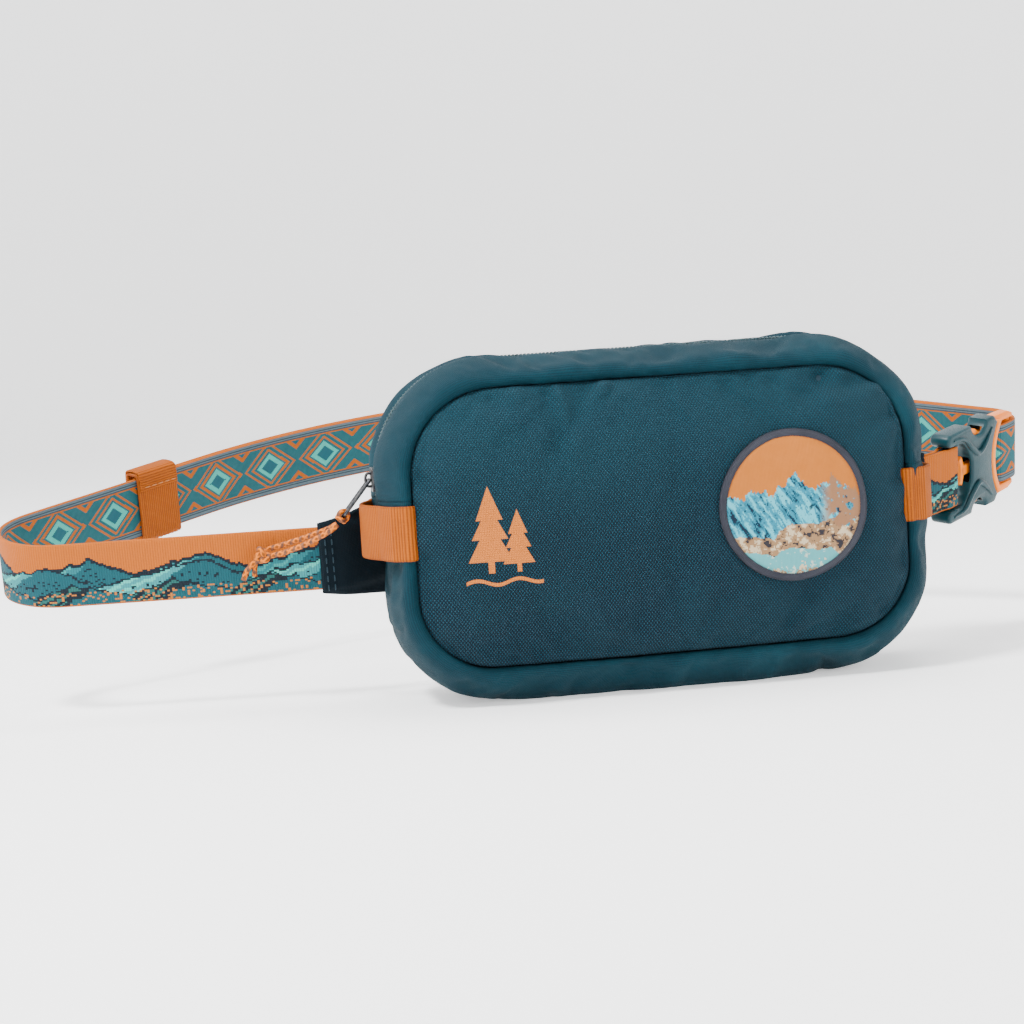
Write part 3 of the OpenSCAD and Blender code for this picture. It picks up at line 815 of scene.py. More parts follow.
# How far a point of a panel lies inside its outline, from the outline's rounded rectangle
def inset_of(x, z):
    moved_x, moved_z = stuffed(x, z, 0)
    x, z = 2 * x - moved_x, 2 * z - moved_z
    half, mid = PANEL_HALF, (PANEL_TOP + PANEL_BOTTOM) / 2
    half_h = (PANEL_TOP - PANEL_BOTTOM) / 2
    r = R_TOP[0] if z > mid else R_BOTTOM[0]
    dx, dz = abs(x) - (half - r), abs(z - mid) - (half_h - r)
    if dx > 0 and dz > 0:
        return r - math.hypot(dx, dz)
    return r - max(dx, dz)


def crown(d, height, reach):
    k = min(1.0, max(0.0, d) / reach)
    return height * (1 - (1 - k) ** 2.4)


# ---------------------------------------------------------------- the pouch's cloth

# Rows of the gusset from the front seam to the back seam. The seam rows are drawn in, so that
# the gusset rolls over them.
GUSSET_HALF = [(27.2, 2.6), (28.4, 1.1), (28.2, -0.4), (27.3, -0.9), (25.6, -0.8), (23.4, -0.5),
               (20.8, -0.2), (18, 0), (15, 0), (12, 0), (9, 0), (6.6, 0.5), (5, 0.9), (4.7, 1.2),
               (1.6, 1.2)]            # distance from the middle, and inwards from the outline
GUSSET_ROWS = [(-y, d) for y, d in GUSSET_HALF] + GUSSET_HALF[::-1]
LIPS = (12, 17)                       # rows of the two folded edges beside the zip


def on_top(k):
    return RIGHT_END <= k % RIM < LEFT_END


def build_cloth():
    verts, faces, groups = [], [], []
    pinned, uvs = [], []

    def add_rows(rows):
        base = len(verts)
        for row in rows:
            verts.extend(row)
        return base

    # gusset
    gusset_rows = []
    for y, d in GUSSET_ROWS:
        zipped = rim_row(bulge(y * MM), y * MM, d * MM)
        plain = rim_row(bulge(y * MM), y * MM, min(0, d) * MM) if abs(y) < 10 else zipped
        gusset_rows.append([zipped[k] if on_top(k) or on_top(k - 1) else plain[k]
                            for k in range(RIM)])
    base = add_rows(gusset_rows)
    m = len(gusset_rows)
    around = np.concatenate([lengths(CREST), [0]])
    around[-1] = around[-2] + np.linalg.norm(CREST[0] - CREST[-1])
    across = lengths(GUSSET_ROWS) * MM
    for i in range(m - 1):
        for k in range(RIM):
            top = on_top(k)
            if top and LIPS[0] <= i < LIPS[1]:
                continue
            k2 = (k + 1) % RIM
            faces.append((base + i * RIM + k, base + i * RIM + k2,
                          base + (i + 1) * RIM + k2, base + (i + 1) * RIM + k))
            uvs += [(around[k], across[i]), (around[k + 1], across[i]),
                    (around[k + 1], across[i + 1]), (around[k], across[i + 1])]
            groups.append("lower_gusset" if not top
                          else ("front_gusset" if i < LIPS[0] else "rear_gusset"))
    for k in range(RIM):
        for i in (0, m - 1):
            pinned.append((base + i * RIM + k, 1.0))
        for i in (1, m - 2):
            pinned.append((base + i * RIM + k, 0.6))
        for i in range(LIPS[0], LIPS[1] + 1):
            pinned.append((base + i * RIM + k, 1.0 if on_top(k) or on_top(k - 1) else 0.15))

    # front and back panels: the edge is drawn into the seam
    for side, name, height, reach in ((-1, "front_panel", 6.0 * MM, 20 * MM),
                                      (1, "back_panel", 4.2 * MM, 24 * MM)):
        edge = [Vector((p.x, side * 27.4 * MM, p.z)) for p in rim_row(0, 0, 2.7 * MM)]
        rows = fill_rows(edge)
        for j, row in enumerate(rows):
            for i, p in enumerate(row):
                d = inset_of(p.x, p.z) - 2.7 * MM
                p.y = side * (27.4 * MM + 1.2 * MM * min(1, max(0, d / (1.5 * MM)))
                              + crown(d, height, reach))
        base = add_rows(rows)
        n = ACROSS + 1
        for j in range(UP):
            for i in range(ACROSS):
                quad = (base + j * n + i, base + j * n + i + 1,
                        base + (j + 1) * n + i + 1, base + (j + 1) * n + i)
                quad = quad if side < 0 else quad[::-1]
                faces.append(quad)
                uvs += [(verts[q].x, verts[q].z) for q in quad]
                groups.append(name)
        for j in range(UP + 1):
            for i in range(ACROSS + 1):
                ring = min(i, j, ACROSS - i, UP - j)
                if ring < 2:
                    pinned.append((base + j * n + i, 1.0 - 0.5 * ring))
    return verts, faces, groups, pinned, uvs


def simulate(obj, pinned, cap):
    weights = obj.vertex_groups.new(name="pinned")
    for index, weight in pinned:
        weights.add([index], weight, "REPLACE")
    rest = np.array([v.co for v in obj.data.vertices])
    cloth = obj.modifiers.new("cloth", "CLOTH")
    settings = cloth.settings
    settings.quality = 6
    settings.mass = 0.25
    settings.tension_stiffness = settings.compression_stiffness = 12
    settings.shear_stiffness = 6
    settings.bending_stiffness = 1.2
    settings.tension_damping = settings.compression_damping = settings.shear_damping = 18
    settings.vertex_group_mass = "pinned"
    settings.use_pressure = True
    settings.uniform_pressure_force = 3.0
    settings.shrink_min = -0.022
    settings.effector_weights.gravity = 0
    cloth.collision_settings.use_collision = False
    cloth.collision_settings.use_self_collision = False
    scene = bpy.context.scene
    frames_run = 18
    cloth.point_cache.frame_start, cloth.point_cache.frame_end = 1, frames_run
    for number in range(1, frames_run + 1):
        scene.frame_set(number)
    graph = bpy.context.evaluated_depsgraph_get()
    mesh = obj.evaluated_get(graph).to_mesh()
    moved = np.array([v.co for v in mesh.vertices])
    obj.evaluated_get(graph).to_mesh_clear()
    obj.modifiers.clear()
    scene.frame_set(1)
    shift = moved - rest
    far = np.linalg.norm(shift, axis=1)
    scale = np.where(far > 1e-9, cap * np.tanh(far / cap) / np.maximum(far, 1e-9), 1)
    obj.data.vertices.foreach_set("co", (rest + shift * scale[:, None]).ravel())
    obj.data.update()
    obj.vertex_groups.clear()


# Folds that start at a panel's seam and run inwards: each is a soft ridge beside a soft valley
def seam_folds(count, seed):
    chance = random.Random(seed)
    edge = rim_row(0, 0, 2 * MM)
    folds = []
    for k in range(count):
        at = int(RIM * (k + chance.uniform(-0.3, 0.3)) / count) % RIM
        start = edge[at]
        along = edge[(at + 2) % RIM] - edge[at - 2]
        along.normalize()
        inwards = Vector((-along.z, 0, along.x))
        lean = chance.uniform(-0.8, 0.8)
        direction = (inwards + along * lean).normalized()
        upper = smooth_step(start.z, 0.05, 0.11)
        length = chance.uniform(12, 24 + 26 * upper) * MM
        height = chance.uniform(0.9, 1.7 + 1.6 * upper) * MM
        folds.append((start, direction, length, height, chance.uniform(2.4, 4.5) * MM))
    return folds


def fold_height(p, folds):
    total = 0.0
    for start, direction, length, height, width in folds:
        along = (p.x - start.x) * direction.x + (p.z - start.z) * direction.z
        if not 0 < along < length:
            continue
        across = (p.x - start.x) * direction.z - (p.z - start.z) * direction.x
        w = width * (0.7 + along / length)
        ridge = math.exp(-(across / w) ** 2) - 0.7 * math.exp(-((across - 1.7 * w) / w) ** 2)
        total += height * ridge * (1 - along / length) ** 1.3 * smooth_step(along, 0, 3 * MM)
    return total


def add_creases(obj, pinned):
    front_folds, back_folds = seam_folds(26, 7), seam_folds(20, 11)
    held = np.zeros(len(obj.data.vertices))
    for index, weight in pinned:
        held[index] = max(held[index], weight)
    normals = [v.normal.copy() for v in obj.data.vertices]
    for v, normal, weight in zip(obj.data.vertices, normals, held):
        p = v.co
        free = 1 - weight
        if abs(p.y) > 27.5 * MM and inset_of(p.x, p.z) > 2 * MM:
            d = inset_of(p.x, p.z)
            high = 0.35 + 0.65 * max(0.0, min(1.0, (p.z - 0.05) / 0.06))
            near = math.exp(-max(0.0, d - 3 * MM) / (22 * MM))
            depth = (2.6 * near * high + 0.7) * MM
            across = Vector((p.x * 42, p.z * 42, 0.7))
            if abs(p.x) > 0.06:
                across = Vector((p.x * 26, p.z * 46, 1.9))
            fold = noise.noise(across + Vector((0, 0, math.copysign(5, p.y))))
            pucker = noise.noise(Vector((p.x * 130, p.z * 130, 2.0))) * 0.8 * MM
            pucker *= math.exp(-d / (6 * MM))
            folds = fold_height(p, front_folds if p.y < 0 else back_folds)
            v.co = p + normal * (fold * depth + pucker + folds) * free
        else:
            fold = noise.noise(Vector((p.x * 52, p.y * 20, p.z * 52)))
            long_fold = noise.noise(Vector((p.x * 9, p.y * 75, p.z * 9 + 4.0)))
            seam = math.exp(-(SEAM_Y - abs(p.y)) / (6 * MM))
            pucker = noise.noise(Vector((p.x * 120, p.z * 120, 7.0))) * 1.3 * seam
            if abs(p.x) > PANEL_HALF - 2 * MM:
                # the gusset lies flat under the sewn tabs
                free *= smooth_step(abs(p.z - TAB_Z), TAB_HALF + 1 * MM, TAB_HALF + 8 * MM)
            v.co = p + normal * (fold * 1.1 + long_fold * 1.6 + pucker) * MM * free
    obj.data.update()


def split_cloth(obj, groups, materials):
    pieces = {}
    for name, material in materials.items():
        part = bmesh.new()
        part.from_mesh(obj.data)
        part.faces.ensure_lookup_table()
        drop = [part.faces[k] for k, group in enumerate(groups) if group != name]
        bmesh.ops.delete(part, geom=drop, context="FACES")
        mesh = bpy.data.meshes.new(name + "_cloth")
        part.to_mesh(mesh)
        part.free()
        mesh.materials.append(material)
        pieces[name] = bpy.data.objects.new(name + "_cloth", mesh)
        bpy.context.scene.collection.objects.link(pieces[name])
    return pieces


verts, faces, groups, pinned, uvs = build_cloth()
pouch = new_object("pouch_cloth", verts, faces, [])
set_uv(pouch, uvs)
simulate(pouch, pinned, 4.5 * MM)
add_creases(pouch, pinned)
pouch_pieces = split_cloth(pouch, groups, {
    "front_panel": CANVAS, "back_panel": BACK, "front_gusset": GUSSET, "rear_gusset": GUSSET,
    "lower_gusset": GUSSET})
bpy.data.objects.remove(pouch)

# Pieces that go with the mouth keep their place, with their transform baked into the mesh.
MOUTH = "mouth"


# Hide the model's parts that a piece replaces, and attach the piece to the body that it moves
# with, or bake its transform in for the mouth
def settle(obj, slot, body, *nodes):
    if nodes:
        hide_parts(*nodes)
    if body == MOUTH:
        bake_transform(obj)
    else:
        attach(obj, body)
    return obj


for name, piece in pouch_pieces.items():
    subdivide(piece)
    thicken(piece, 0.9 * MM)
    slot = {"front_panel": "canvas", "back_panel": "back_fabric"}.get(name, "gusset_fabric")
    settle(piece, slot, "pack" if name in ("back_panel", "rear_gusset") else MOUTH, name)


# ---------------------------------------------------------------- inside of the pouch

# Lining, padding and bindings follow the panels' outline further in
def inner_panel(name, side, inset, y, height, thickness, material, slot):
    edge = [Vector((p.x, 0, p.z)) for p in rim_row(0, 0, inset)]
    rows = fill_rows(edge)
    for row in rows:
        for p in row:
            d = inset_of(p.x, p.z) - inset
            ripple = noise.noise(Vector((p.x * 30, p.z * 30, side * 3.0))) * 0.35 * MM
            p.y = side * (y + crown(d, height, 16 * MM)) + ripple
    s = [row[0].z for row in rows]
    r = [p.x for p in rows[0]]
    obj = grid(name + "_cloth", rows, [material], s, r)
    if side > 0:
        obj.data.flip_normals()
    thicken(obj, thickness, 0)
    return settle(obj, slot, "pack" if side > 0 else MOUTH, name)


inner_panel("front_lining", -1, 5 * MM, 26.0 * MM, 4.5 * MM, 0.5 * MM, LINING, "lining")
inner_panel("back_lining", 1, 6 * MM, 21.6 * MM, 2.5 * MM, 0.5 * MM, LINING, "lining")
padding = inner_panel("back_padding", 1, 6 * MM, 24.4 * MM, 2.6 * MM, 3.6 * MM, FOAM, "foam")


def seam_tape(name, side, ks):
    rows = []
    for y, d in ((23.8, 4.0), (21.5, 4.2), (19.2, 4.0), (19.0, 4.7), (19.2, 5.4), (21.5, 5.6),
                 (23.8, 5.4), (24.0, 4.7)):
        ring = rim_row(bulge(y * MM), side * y * MM, d * MM)
        rows.append([ring[k % RIM] for k in ks])
    closed = len(ks) == RIM
    flat = lengths([CREST[k % RIM] for k in ks] + ([CREST[ks[0]]] if closed else []))
    obj = grid(name + "_tape", rows, [BINDING], lengths([r[0] for r in rows] + [rows[0][0]]),
               flat, wrap_rows=True, wrap_columns=closed)
    if side > 0:
        obj.data.flip_normals()
    settle(obj, "binding", "pack" if side > 0 else MOUTH, name)


TOP = list(range(RIGHT_END, LEFT_END + 1))
LOW = list(range(LEFT_END, RIGHT_END + RIM + 1))
seam_tape("front_binding", -1, TOP)
seam_tape("lower_binding", -1, LOW)
seam_tape("back_binding", 1, list(range(RIM)))


# ---------------------------------------------------------------- zip

def zip_line(y, d):
    row = rim_row(bulge(y), y, d)
    return [row[k] for k in TOP]


def zip_tape(name, side):
    rows = [zip_line(side * y * MM, d * MM) for y, d in
            ((9.4, 2.0), (7, 1.9), (4.5, 1.3), (2.5, 0.8), (1.4, 0.7), (1.4, 1.2), (4.5, 1.8),
             (9.4, 2.5))]
    obj = grid(name + "_cloth", rows, [ZIP_TAPE], [y * MM for y in (0, 2.4, 5, 7, 8, 8.5, 11, 16)]
               + [0.0165], lengths(zip_line(0, 0)), wrap_rows=True)
    if side < 0:
        obj.data.flip_normals()
    settle(obj, "zip_tape", "pack" if side > 0 else MOUTH, name)


# A nylon coil: a flattened helix whose turns bite into the other side's between them
def zip_coil(name, side):
    middle = np.array(zip_line(0, 0.3 * MM))
    s = lengths(middle)
    pitch = 1.45 * MM
    turns = int(s[-1] / pitch)
    steps = 10
    total = turns * steps
    t = (np.arange(total) + (0 if side < 0 else steps / 2)) / steps * pitch
    t = np.clip(t, 0, s[-1])
    line = points_at(middle, s, t)
    tangent = np.gradient(line, axis=0)
    tangent /= np.maximum(np.linalg.norm(tangent, axis=1)[:, None], 1e-12)
    out = np.cross(tangent, [0, 1, 0])
    out *= np.sign((out * (line - np.array([0, 0, 0.06]))).sum(1))[:, None]
    phase = 2 * math.pi * np.arange(total) / steps
    across = side * (1.0 + 1.25 * np.cos(phase)) * MM
    height = 0.72 * np.sin(phase) * MM
    points = line + out * height[:, None]
    points[:, 1] += across
    obj = tube(name + "_helix", points, 0.30 * MM, COIL, 6)
    settle(obj, "zip_coil", "pack" if side > 0 else MOUTH, name)


for build, kind in ((zip_tape, "_zip_tape"), (zip_coil, "_zip_coil")):
    build("front" + kind, -1)
    build("rear" + kind, 1)

# ---------------------------------------------------------------- patch

def surface_of(piece):
    return BVHTree.FromPolygons([v.co.copy() for v in piece.data.vertices],
                                [tuple(p.vertices) for p in piece.data.polygons])


front_surface = surface_of(pouch_pieces["front_panel"])


def front_y(x, z):
    hit = front_surface.ray_cast(Vector((x, -0.1, z)), Vector((0, 1, 0)))[0]
    return hit.y if hit else -SEAM_Y


# The panel's surface under the patch, evened out, because a stiff patch bridges small creases
def patch_y(x, z):
    around = [(0, 0), (5, 0), (-5, 0), (0, 5), (0, -5), (8, 8), (-8, 8), (8, -8), (-8, -8)]
    return min(sum(front_y(x + a * MM, z + b * MM) for a, b in around) / len(around),
               front_y(x, z) - 0.1 * MM)


def build_patch():
    rings, spokes = 14, 96
    inner = PATCH_R - 2.6 * MM
    rows = []
    for k in range(rings + 1):
        r = max(0.3 * MM, inner * k / rings)
        rows.append([])
        for a in np.linspace(0, 2 * math.pi, spokes, endpoint=False):
            x, z = PATCH_X + r * math.cos(a), PATCH_Z + r * math.sin(a)
            rows[-1].append(Vector((x, patch_y(x, z) - 1.0 * MM, z)))
    obj = grid("patch_picture", rows, [PATCH], [inner * k / rings for k in range(rings + 1)],
               np.linspace(0, 2 * math.pi * inner, spokes + 1), wrap_columns=True)
    thicken(face_outwards(obj, [range(spokes)]), 0.7 * MM, 0)
    settle(obj, "patch", MOUTH, "patch")

    # overlocked edge: a rounded band of thread turns around the rim
    turns, section = 300, 10
    rows = []
    for k in range(section):
        b = 2 * math.pi * k / section
        rows.append([])
        for i in range(turns * 2):
            a = math.pi * i / turns
            full = 1.0 if i % 2 else 0.86
            r = PATCH_R - 1.75 * MM + 1.75 * MM * math.cos(b) * full
            x, z = PATCH_X + r * math.cos(a), PATCH_Z + r * math.sin(a)
            rows[-1].append(Vector((x, patch_y(x, z) - 0.85 * MM
                                    - 0.85 * MM * math.sin(b) * full, z)))
    obj = grid("patch_overlock", rows, [PATCH_EDGE], [1.2 * MM * k for k in range(section + 1)],
               np.linspace(0, 2 * math.pi * PATCH_R, turns * 2 + 1), wrap_rows=True,
               wrap_columns=True)
    settle(face_outwards(obj), "patch_border", MOUTH, "patch_border")


build_patch()

# ---------------------------------------------------------------- side tabs

TAB_REACH = -tab_low.x


# Cross-sections of a flat strip with rounded selvedges; across points over its width
def strap_rows(line, across, half, thickness):
    p = np.array(line, float)
    up = np.array(across, float)
    out = units(np.cross(units(np.gradient(p, axis=0)), up))
    r = thickness / 2
    flat = np.linspace(-1, 1, 15) * (half - r)
    turn = np.linspace(math.pi / 2, -math.pi / 2, 5)[1:-1]
    section = [(w, r) for w in flat]
    section += [(half - r + r * math.cos(a), r * math.sin(a)) for a in turn]
    section += [(-w, -r) for w in flat]
    section += [(r - half - r * math.cos(a), -r * math.sin(a)) for a in turn]
    rows = [[Vector(p[k] + up * w + out[k] * t) for w, t in section] for k in range(len(p))]
    return rows, section


def strap(name, line, across, half, thickness, materials, s0=0.0):
    rows, section = strap_rows(line, across, half, thickness)
    u = list(lengths(line) + s0)
    v = [w for w, _ in section] + [section[0][0]]
    front = 15

    def face_slot(_, j):
        return 0 if j < front or j >= len(section) - 2 else len(materials) - 1

    obj = grid(name, rows, materials, u, v, wrap_columns=True, caps=True, slot_of=face_slot)
    return face_outwards(obj)


gusset_surface = surface_of(pouch_pieces["lower_gusset"])


# How far out the gusset reaches under a tab at depth y
def side_reach(side, y):
    reach = []
    for z in np.linspace(TAB_Z - TAB_HALF, TAB_Z + TAB_HALF, 11):
        hit = gusset_surface.ray_cast(Vector((side * 0.2, y, z)), Vector((-side, 0, 0)))[0]
        if hit:
            reach.append(abs(hit.x))
    return max(reach) if reach else PANEL_HALF


def side_tab(name, side):
    start, end = -26.6 * MM, 24.5 * MM
    crest = side_reach(side, 0)
    # the front end goes round the gusset's rolled edge and down into the seam
    rolled = [(-3.0, -27.8), (-2.3, -28.9), (-0.9, -29.5), (0.6, -29.3), (1.6, -28.4)]
    line = [(side * (PANEL_HALF + d * MM), y * MM, TAB_Z) for d, y in rolled]
    for t in np.linspace(0, 1, 49):
        y = start + (end - start) * t
        x = side_reach(side, max(y, -27.4 * MM)) + 1.0 * MM
        x = max(x, crest + (TAB_REACH - 0.75 * MM - crest) * math.sin(math.pi * t) ** 0.6
                - (crest - PANEL_HALF) * (1 - math.sin(math.pi * t)))
        if t > 0.97:
            x -= 2.2 * MM
        line.append((side * x, y, TAB_Z))
    obj = strap(name + "_loop", smooth_line(line, 2), (0, 0, 1), TAB_HALF, 1.5 * MM,
                [ORANGE_TAPE])
    settle(obj, "orange_tape", MOUTH, name)


side_tab("left_tab", -1)
side_tab("right_tab", 1)

# ---------------------------------------------------------------- the belt's plane

BELT_RISE, BELT_ROLL = math.radians(12), math.radians(-1.8)
BELT_ORIGIN = Vector((0, 27 * MM, 59 * MM))
BELT_TURN = Matrix.Rotation(BELT_ROLL, 3, "Y") @ Matrix.Rotation(BELT_RISE, 3, "X")
BELT_UP = BELT_TURN @ Vector((0, 0, 1))


def on_belt(u, v, w=0.0):
    return BELT_ORIGIN + BELT_TURN @ Vector((u, v, w))


# Legs of (length in millimetres, turn in degrees), with the lengths in metres
def mm_legs(legs):
    return [(length * MM, turn) for length, turn in legs]


# Points along a chain of legs, in steps of about a millimetre
def walk(legs, point, heading, step=1.2 * MM):
    pts = [tuple(point)]
    x, y = point
    angle = math.radians(heading)
    for length, turn in legs:
        n = max(1, round(length / step))
        for _ in range(n):
            angle += math.radians(turn) / n / 2
            x += length / n * math.cos(angle)
            y += length / n * math.sin(angle)
            angle += math.radians(turn) / n / 2
            pts.append((x, y))
    return pts, math.degrees(angle)


def shifted(points, distance):
    p = np.array(points, float)
    t = units(np.gradient(p, axis=0))
    d = np.broadcast_to(distance, (len(p),))
    return [(a[0] - d_k * b[1], a[1] + d_k * b[0]) for a, b, d_k in zip(p, t, d)]


BUCKLE_TURN = 40
WING_ROOT = 94.5 * MM
MALE_LEN = 51 * MM
BAR_X = 3 * MM                        # the female bar sits between two ears
right_line, _ = walk(mm_legs([(17, 0), (16, BUCKLE_TURN), (6, 0)]), (WING_ROOT, 0), 0)
BAR = right_line[-1]
FORWARD = (math.cos(math.radians(BUCKLE_TURN)), math.sin(math.radians(BUCKLE_TURN)))


def by_buckle(x, y):
    return (BAR[0] + x * FORWARD[0] - y * FORWARD[1], BAR[1] + x * FORWARD[1] + y * FORWARD[0])


WRAP_R = 2.5 * MM
inner_start = by_buckle(MALE_LEN, WRAP_R)
BACK_LEGS = mm_legs([(14, 95), (84, 0), (118, 45), (21, 0), (152, 38)])
FRONT_LEGS = mm_legs([(92, 0), (60, 134), (98, 0)])
KEEPER_AT, KEEPER_LEN = 27 * MM, 20 * MM
back_line, back_heading = walk(BACK_LEGS, inner_start, BUCKLE_TURN)
keeper_line, keeper_heading = walk([(KEEPER_AT, 0)], back_line[-1], back_heading)
KEEPER = keeper_line[-1]
full_line, _ = walk(BACK_LEGS + FRONT_LEGS + mm_legs([(14, 34), (12, 0)]), inner_start,
                    BUCKLE_TURN)
tail_line, _ = walk(BACK_LEGS + [(KEEPER_AT + KEEPER_LEN / 2 - 2 * MM, 0)], inner_start,
                    BUCKLE_TURN)
BELT_T = 1.6 * MM


def build_belt():
    tail_gap = 1.95 * MM
    tail_starts = 8                       # points of the back line that the bar's turn replaces
    tail = shifted(tail_line, -tail_gap)
    bar_x = MALE_LEN - 10.5 * MM
    wrapped = [by_buckle(bar_x + WRAP_R * math.cos(a), WRAP_R * math.sin(a))
               for a in np.linspace(1.5 * math.pi, math.pi / 2, 13)]
    crossing = [by_buckle(MALE_LEN + 2.0 * MM, -WRAP_R + 0.7 * MM),
                by_buckle(MALE_LEN - 1 * MM, -WRAP_R)]
    plan = tail[:tail_starts - 1:-1] + crossing + wrapped + full_line
    s = lengths(plan)
    plan = points_at(plan, s, np.arange(0, s[-1], 1.5 * MM))
    for _ in range(3):
        plan[1:-1] = 0.25 * plan[:-2] + 0.5 * plan[1:-1] + 0.25 * plan[2:]
    line = [on_belt(*p) for p in plan]
    obj = strap("belt_strap", line, BELT_UP, BELT_HALF, BELT_T, [BELT_OUTER, BELT_INNER])
    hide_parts("left_strap", "belt_webbing")
    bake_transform(obj)


build_belt()


def build_right_strap():
    run = right_line[8:-5]
    wrapped = [by_buckle(BAR_X + WRAP_R * math.cos(a), WRAP_R * math.sin(a))
               for a in np.linspace(-math.pi / 2, math.pi / 2, 15)]
    start = BAR_X - 4.5 * MM
    plan = (shifted(run, -1.15 * MM) + [by_buckle(start, -WRAP_R)] + wrapped
            + [by_buckle(start, WRAP_R)] + shifted(run, 1.15 * MM)[::-1])
    obj = strap("buckle_strap", [on_belt(*p) for p in plan], BELT_UP, BELT_HALF, BELT_T,
                [BELT_OUTER, BELT_INNER], s0=0.013)
    settle(obj, "belt_webbing", "pack", "right_strap")


build_right_strap()


# ---------------------------------------------------------------- wings

# Both faces of a wing in one closed pillow around the strap. It starts in the back seam and
# narrows to the strap's width.
def wing(name, line, half_root, half_tip, side, gap):
    line = np.array(line, float)
    n = len(line)
    s = lengths(line)
    share = s / s[-1]
    widths = np.linspace(-1, 1, 25)
    rows = []
    for face in (1, -1):
        order = widths if face > 0 else widths[::-1]
        for w in order:
            row = []
            for k in range(n):
                half = half_root + (half_tip - half_root) * share[k]
                reach = abs(w) * half
                flat = gap if reach < BELT_HALF - 1 * MM else gap * max(
                    0.28, 1 - (reach - BELT_HALF + 1 * MM) / (4 * MM))
                tip = min(1.0, (s[-1] - s[k]) / (1.5 * MM) + 0.55)
                crinkle = noise.noise(Vector((s[k] * 60, w * 3, side * 2 + face))) * 0.5 * MM
                crinkle *= max(0.0, 1 - share[k] * 1.2)
                shift = face * flat * tip + crinkle
                a = line[max(0, k - 1)]
                b = line[min(n - 1, k + 1)]
                t = (b - a) / np.linalg.norm(b - a)
                row.append(on_belt(line[k][0] - shift * t[1], line[k][1] + shift * t[0],
                                   w * half))
            rows.append(row)
    obj = grid(name, rows, [WING], [0.0016 * k for k in range(len(rows) + 1)], s, wrap_rows=True)
    face_outwards(obj, [[j * n + k for j in range(len(rows))] for k in (0, n - 1)])
    settle(obj, "wing_fabric", "pack", name + "_outer", name + "_inner")

    # two rows of stitches across the strap near the tip, on both faces
    parts = []
    half = half_tip - 1.2 * MM
    for back in (2.2 * MM, 4.6 * MM):
        k = int(np.argmin(abs(s - (s[-1] - back))))
        t = (line[k] - line[k - 1]) / np.linalg.norm(line[k] - line[k - 1])
        for face in (1, -1):
            shift = face * (gap + 0.05 * MM)
            spots = [on_belt(line[k][0] - shift * t[1], line[k][1] + shift * t[0], w)
                     for w in np.linspace(-half, half, 12)]
            away = BELT_TURN @ Vector((-face * t[1], face * t[0], 0))
            parts.append(stitches(name + "_row", spots, [away] * 12, THREAD))
    settle(join(name + "_stitches", parts), "wing_fabric", "pack")


left_tip_line, _ = walk(BACK_LEGS + FRONT_LEGS, inner_start, BUCKLE_TURN)
left_root_line, _ = walk(mm_legs([(14, 34), (16, 0)]), left_tip_line[-1], -8)
wing("left_wing", left_root_line[::-1], 19.5 * MM, 13.8 * MM, -1, 1.9 * MM)
right_root_line, _ = walk(mm_legs([(20, 0), (7.2, 18)]), (WING_ROOT - 3 * MM, 0), 0)
wing("right_wing", right_root_line, 19 * MM, 13.8 * MM, 1, 2.7 * MM)


# ---------------------------------------------------------------- keeper

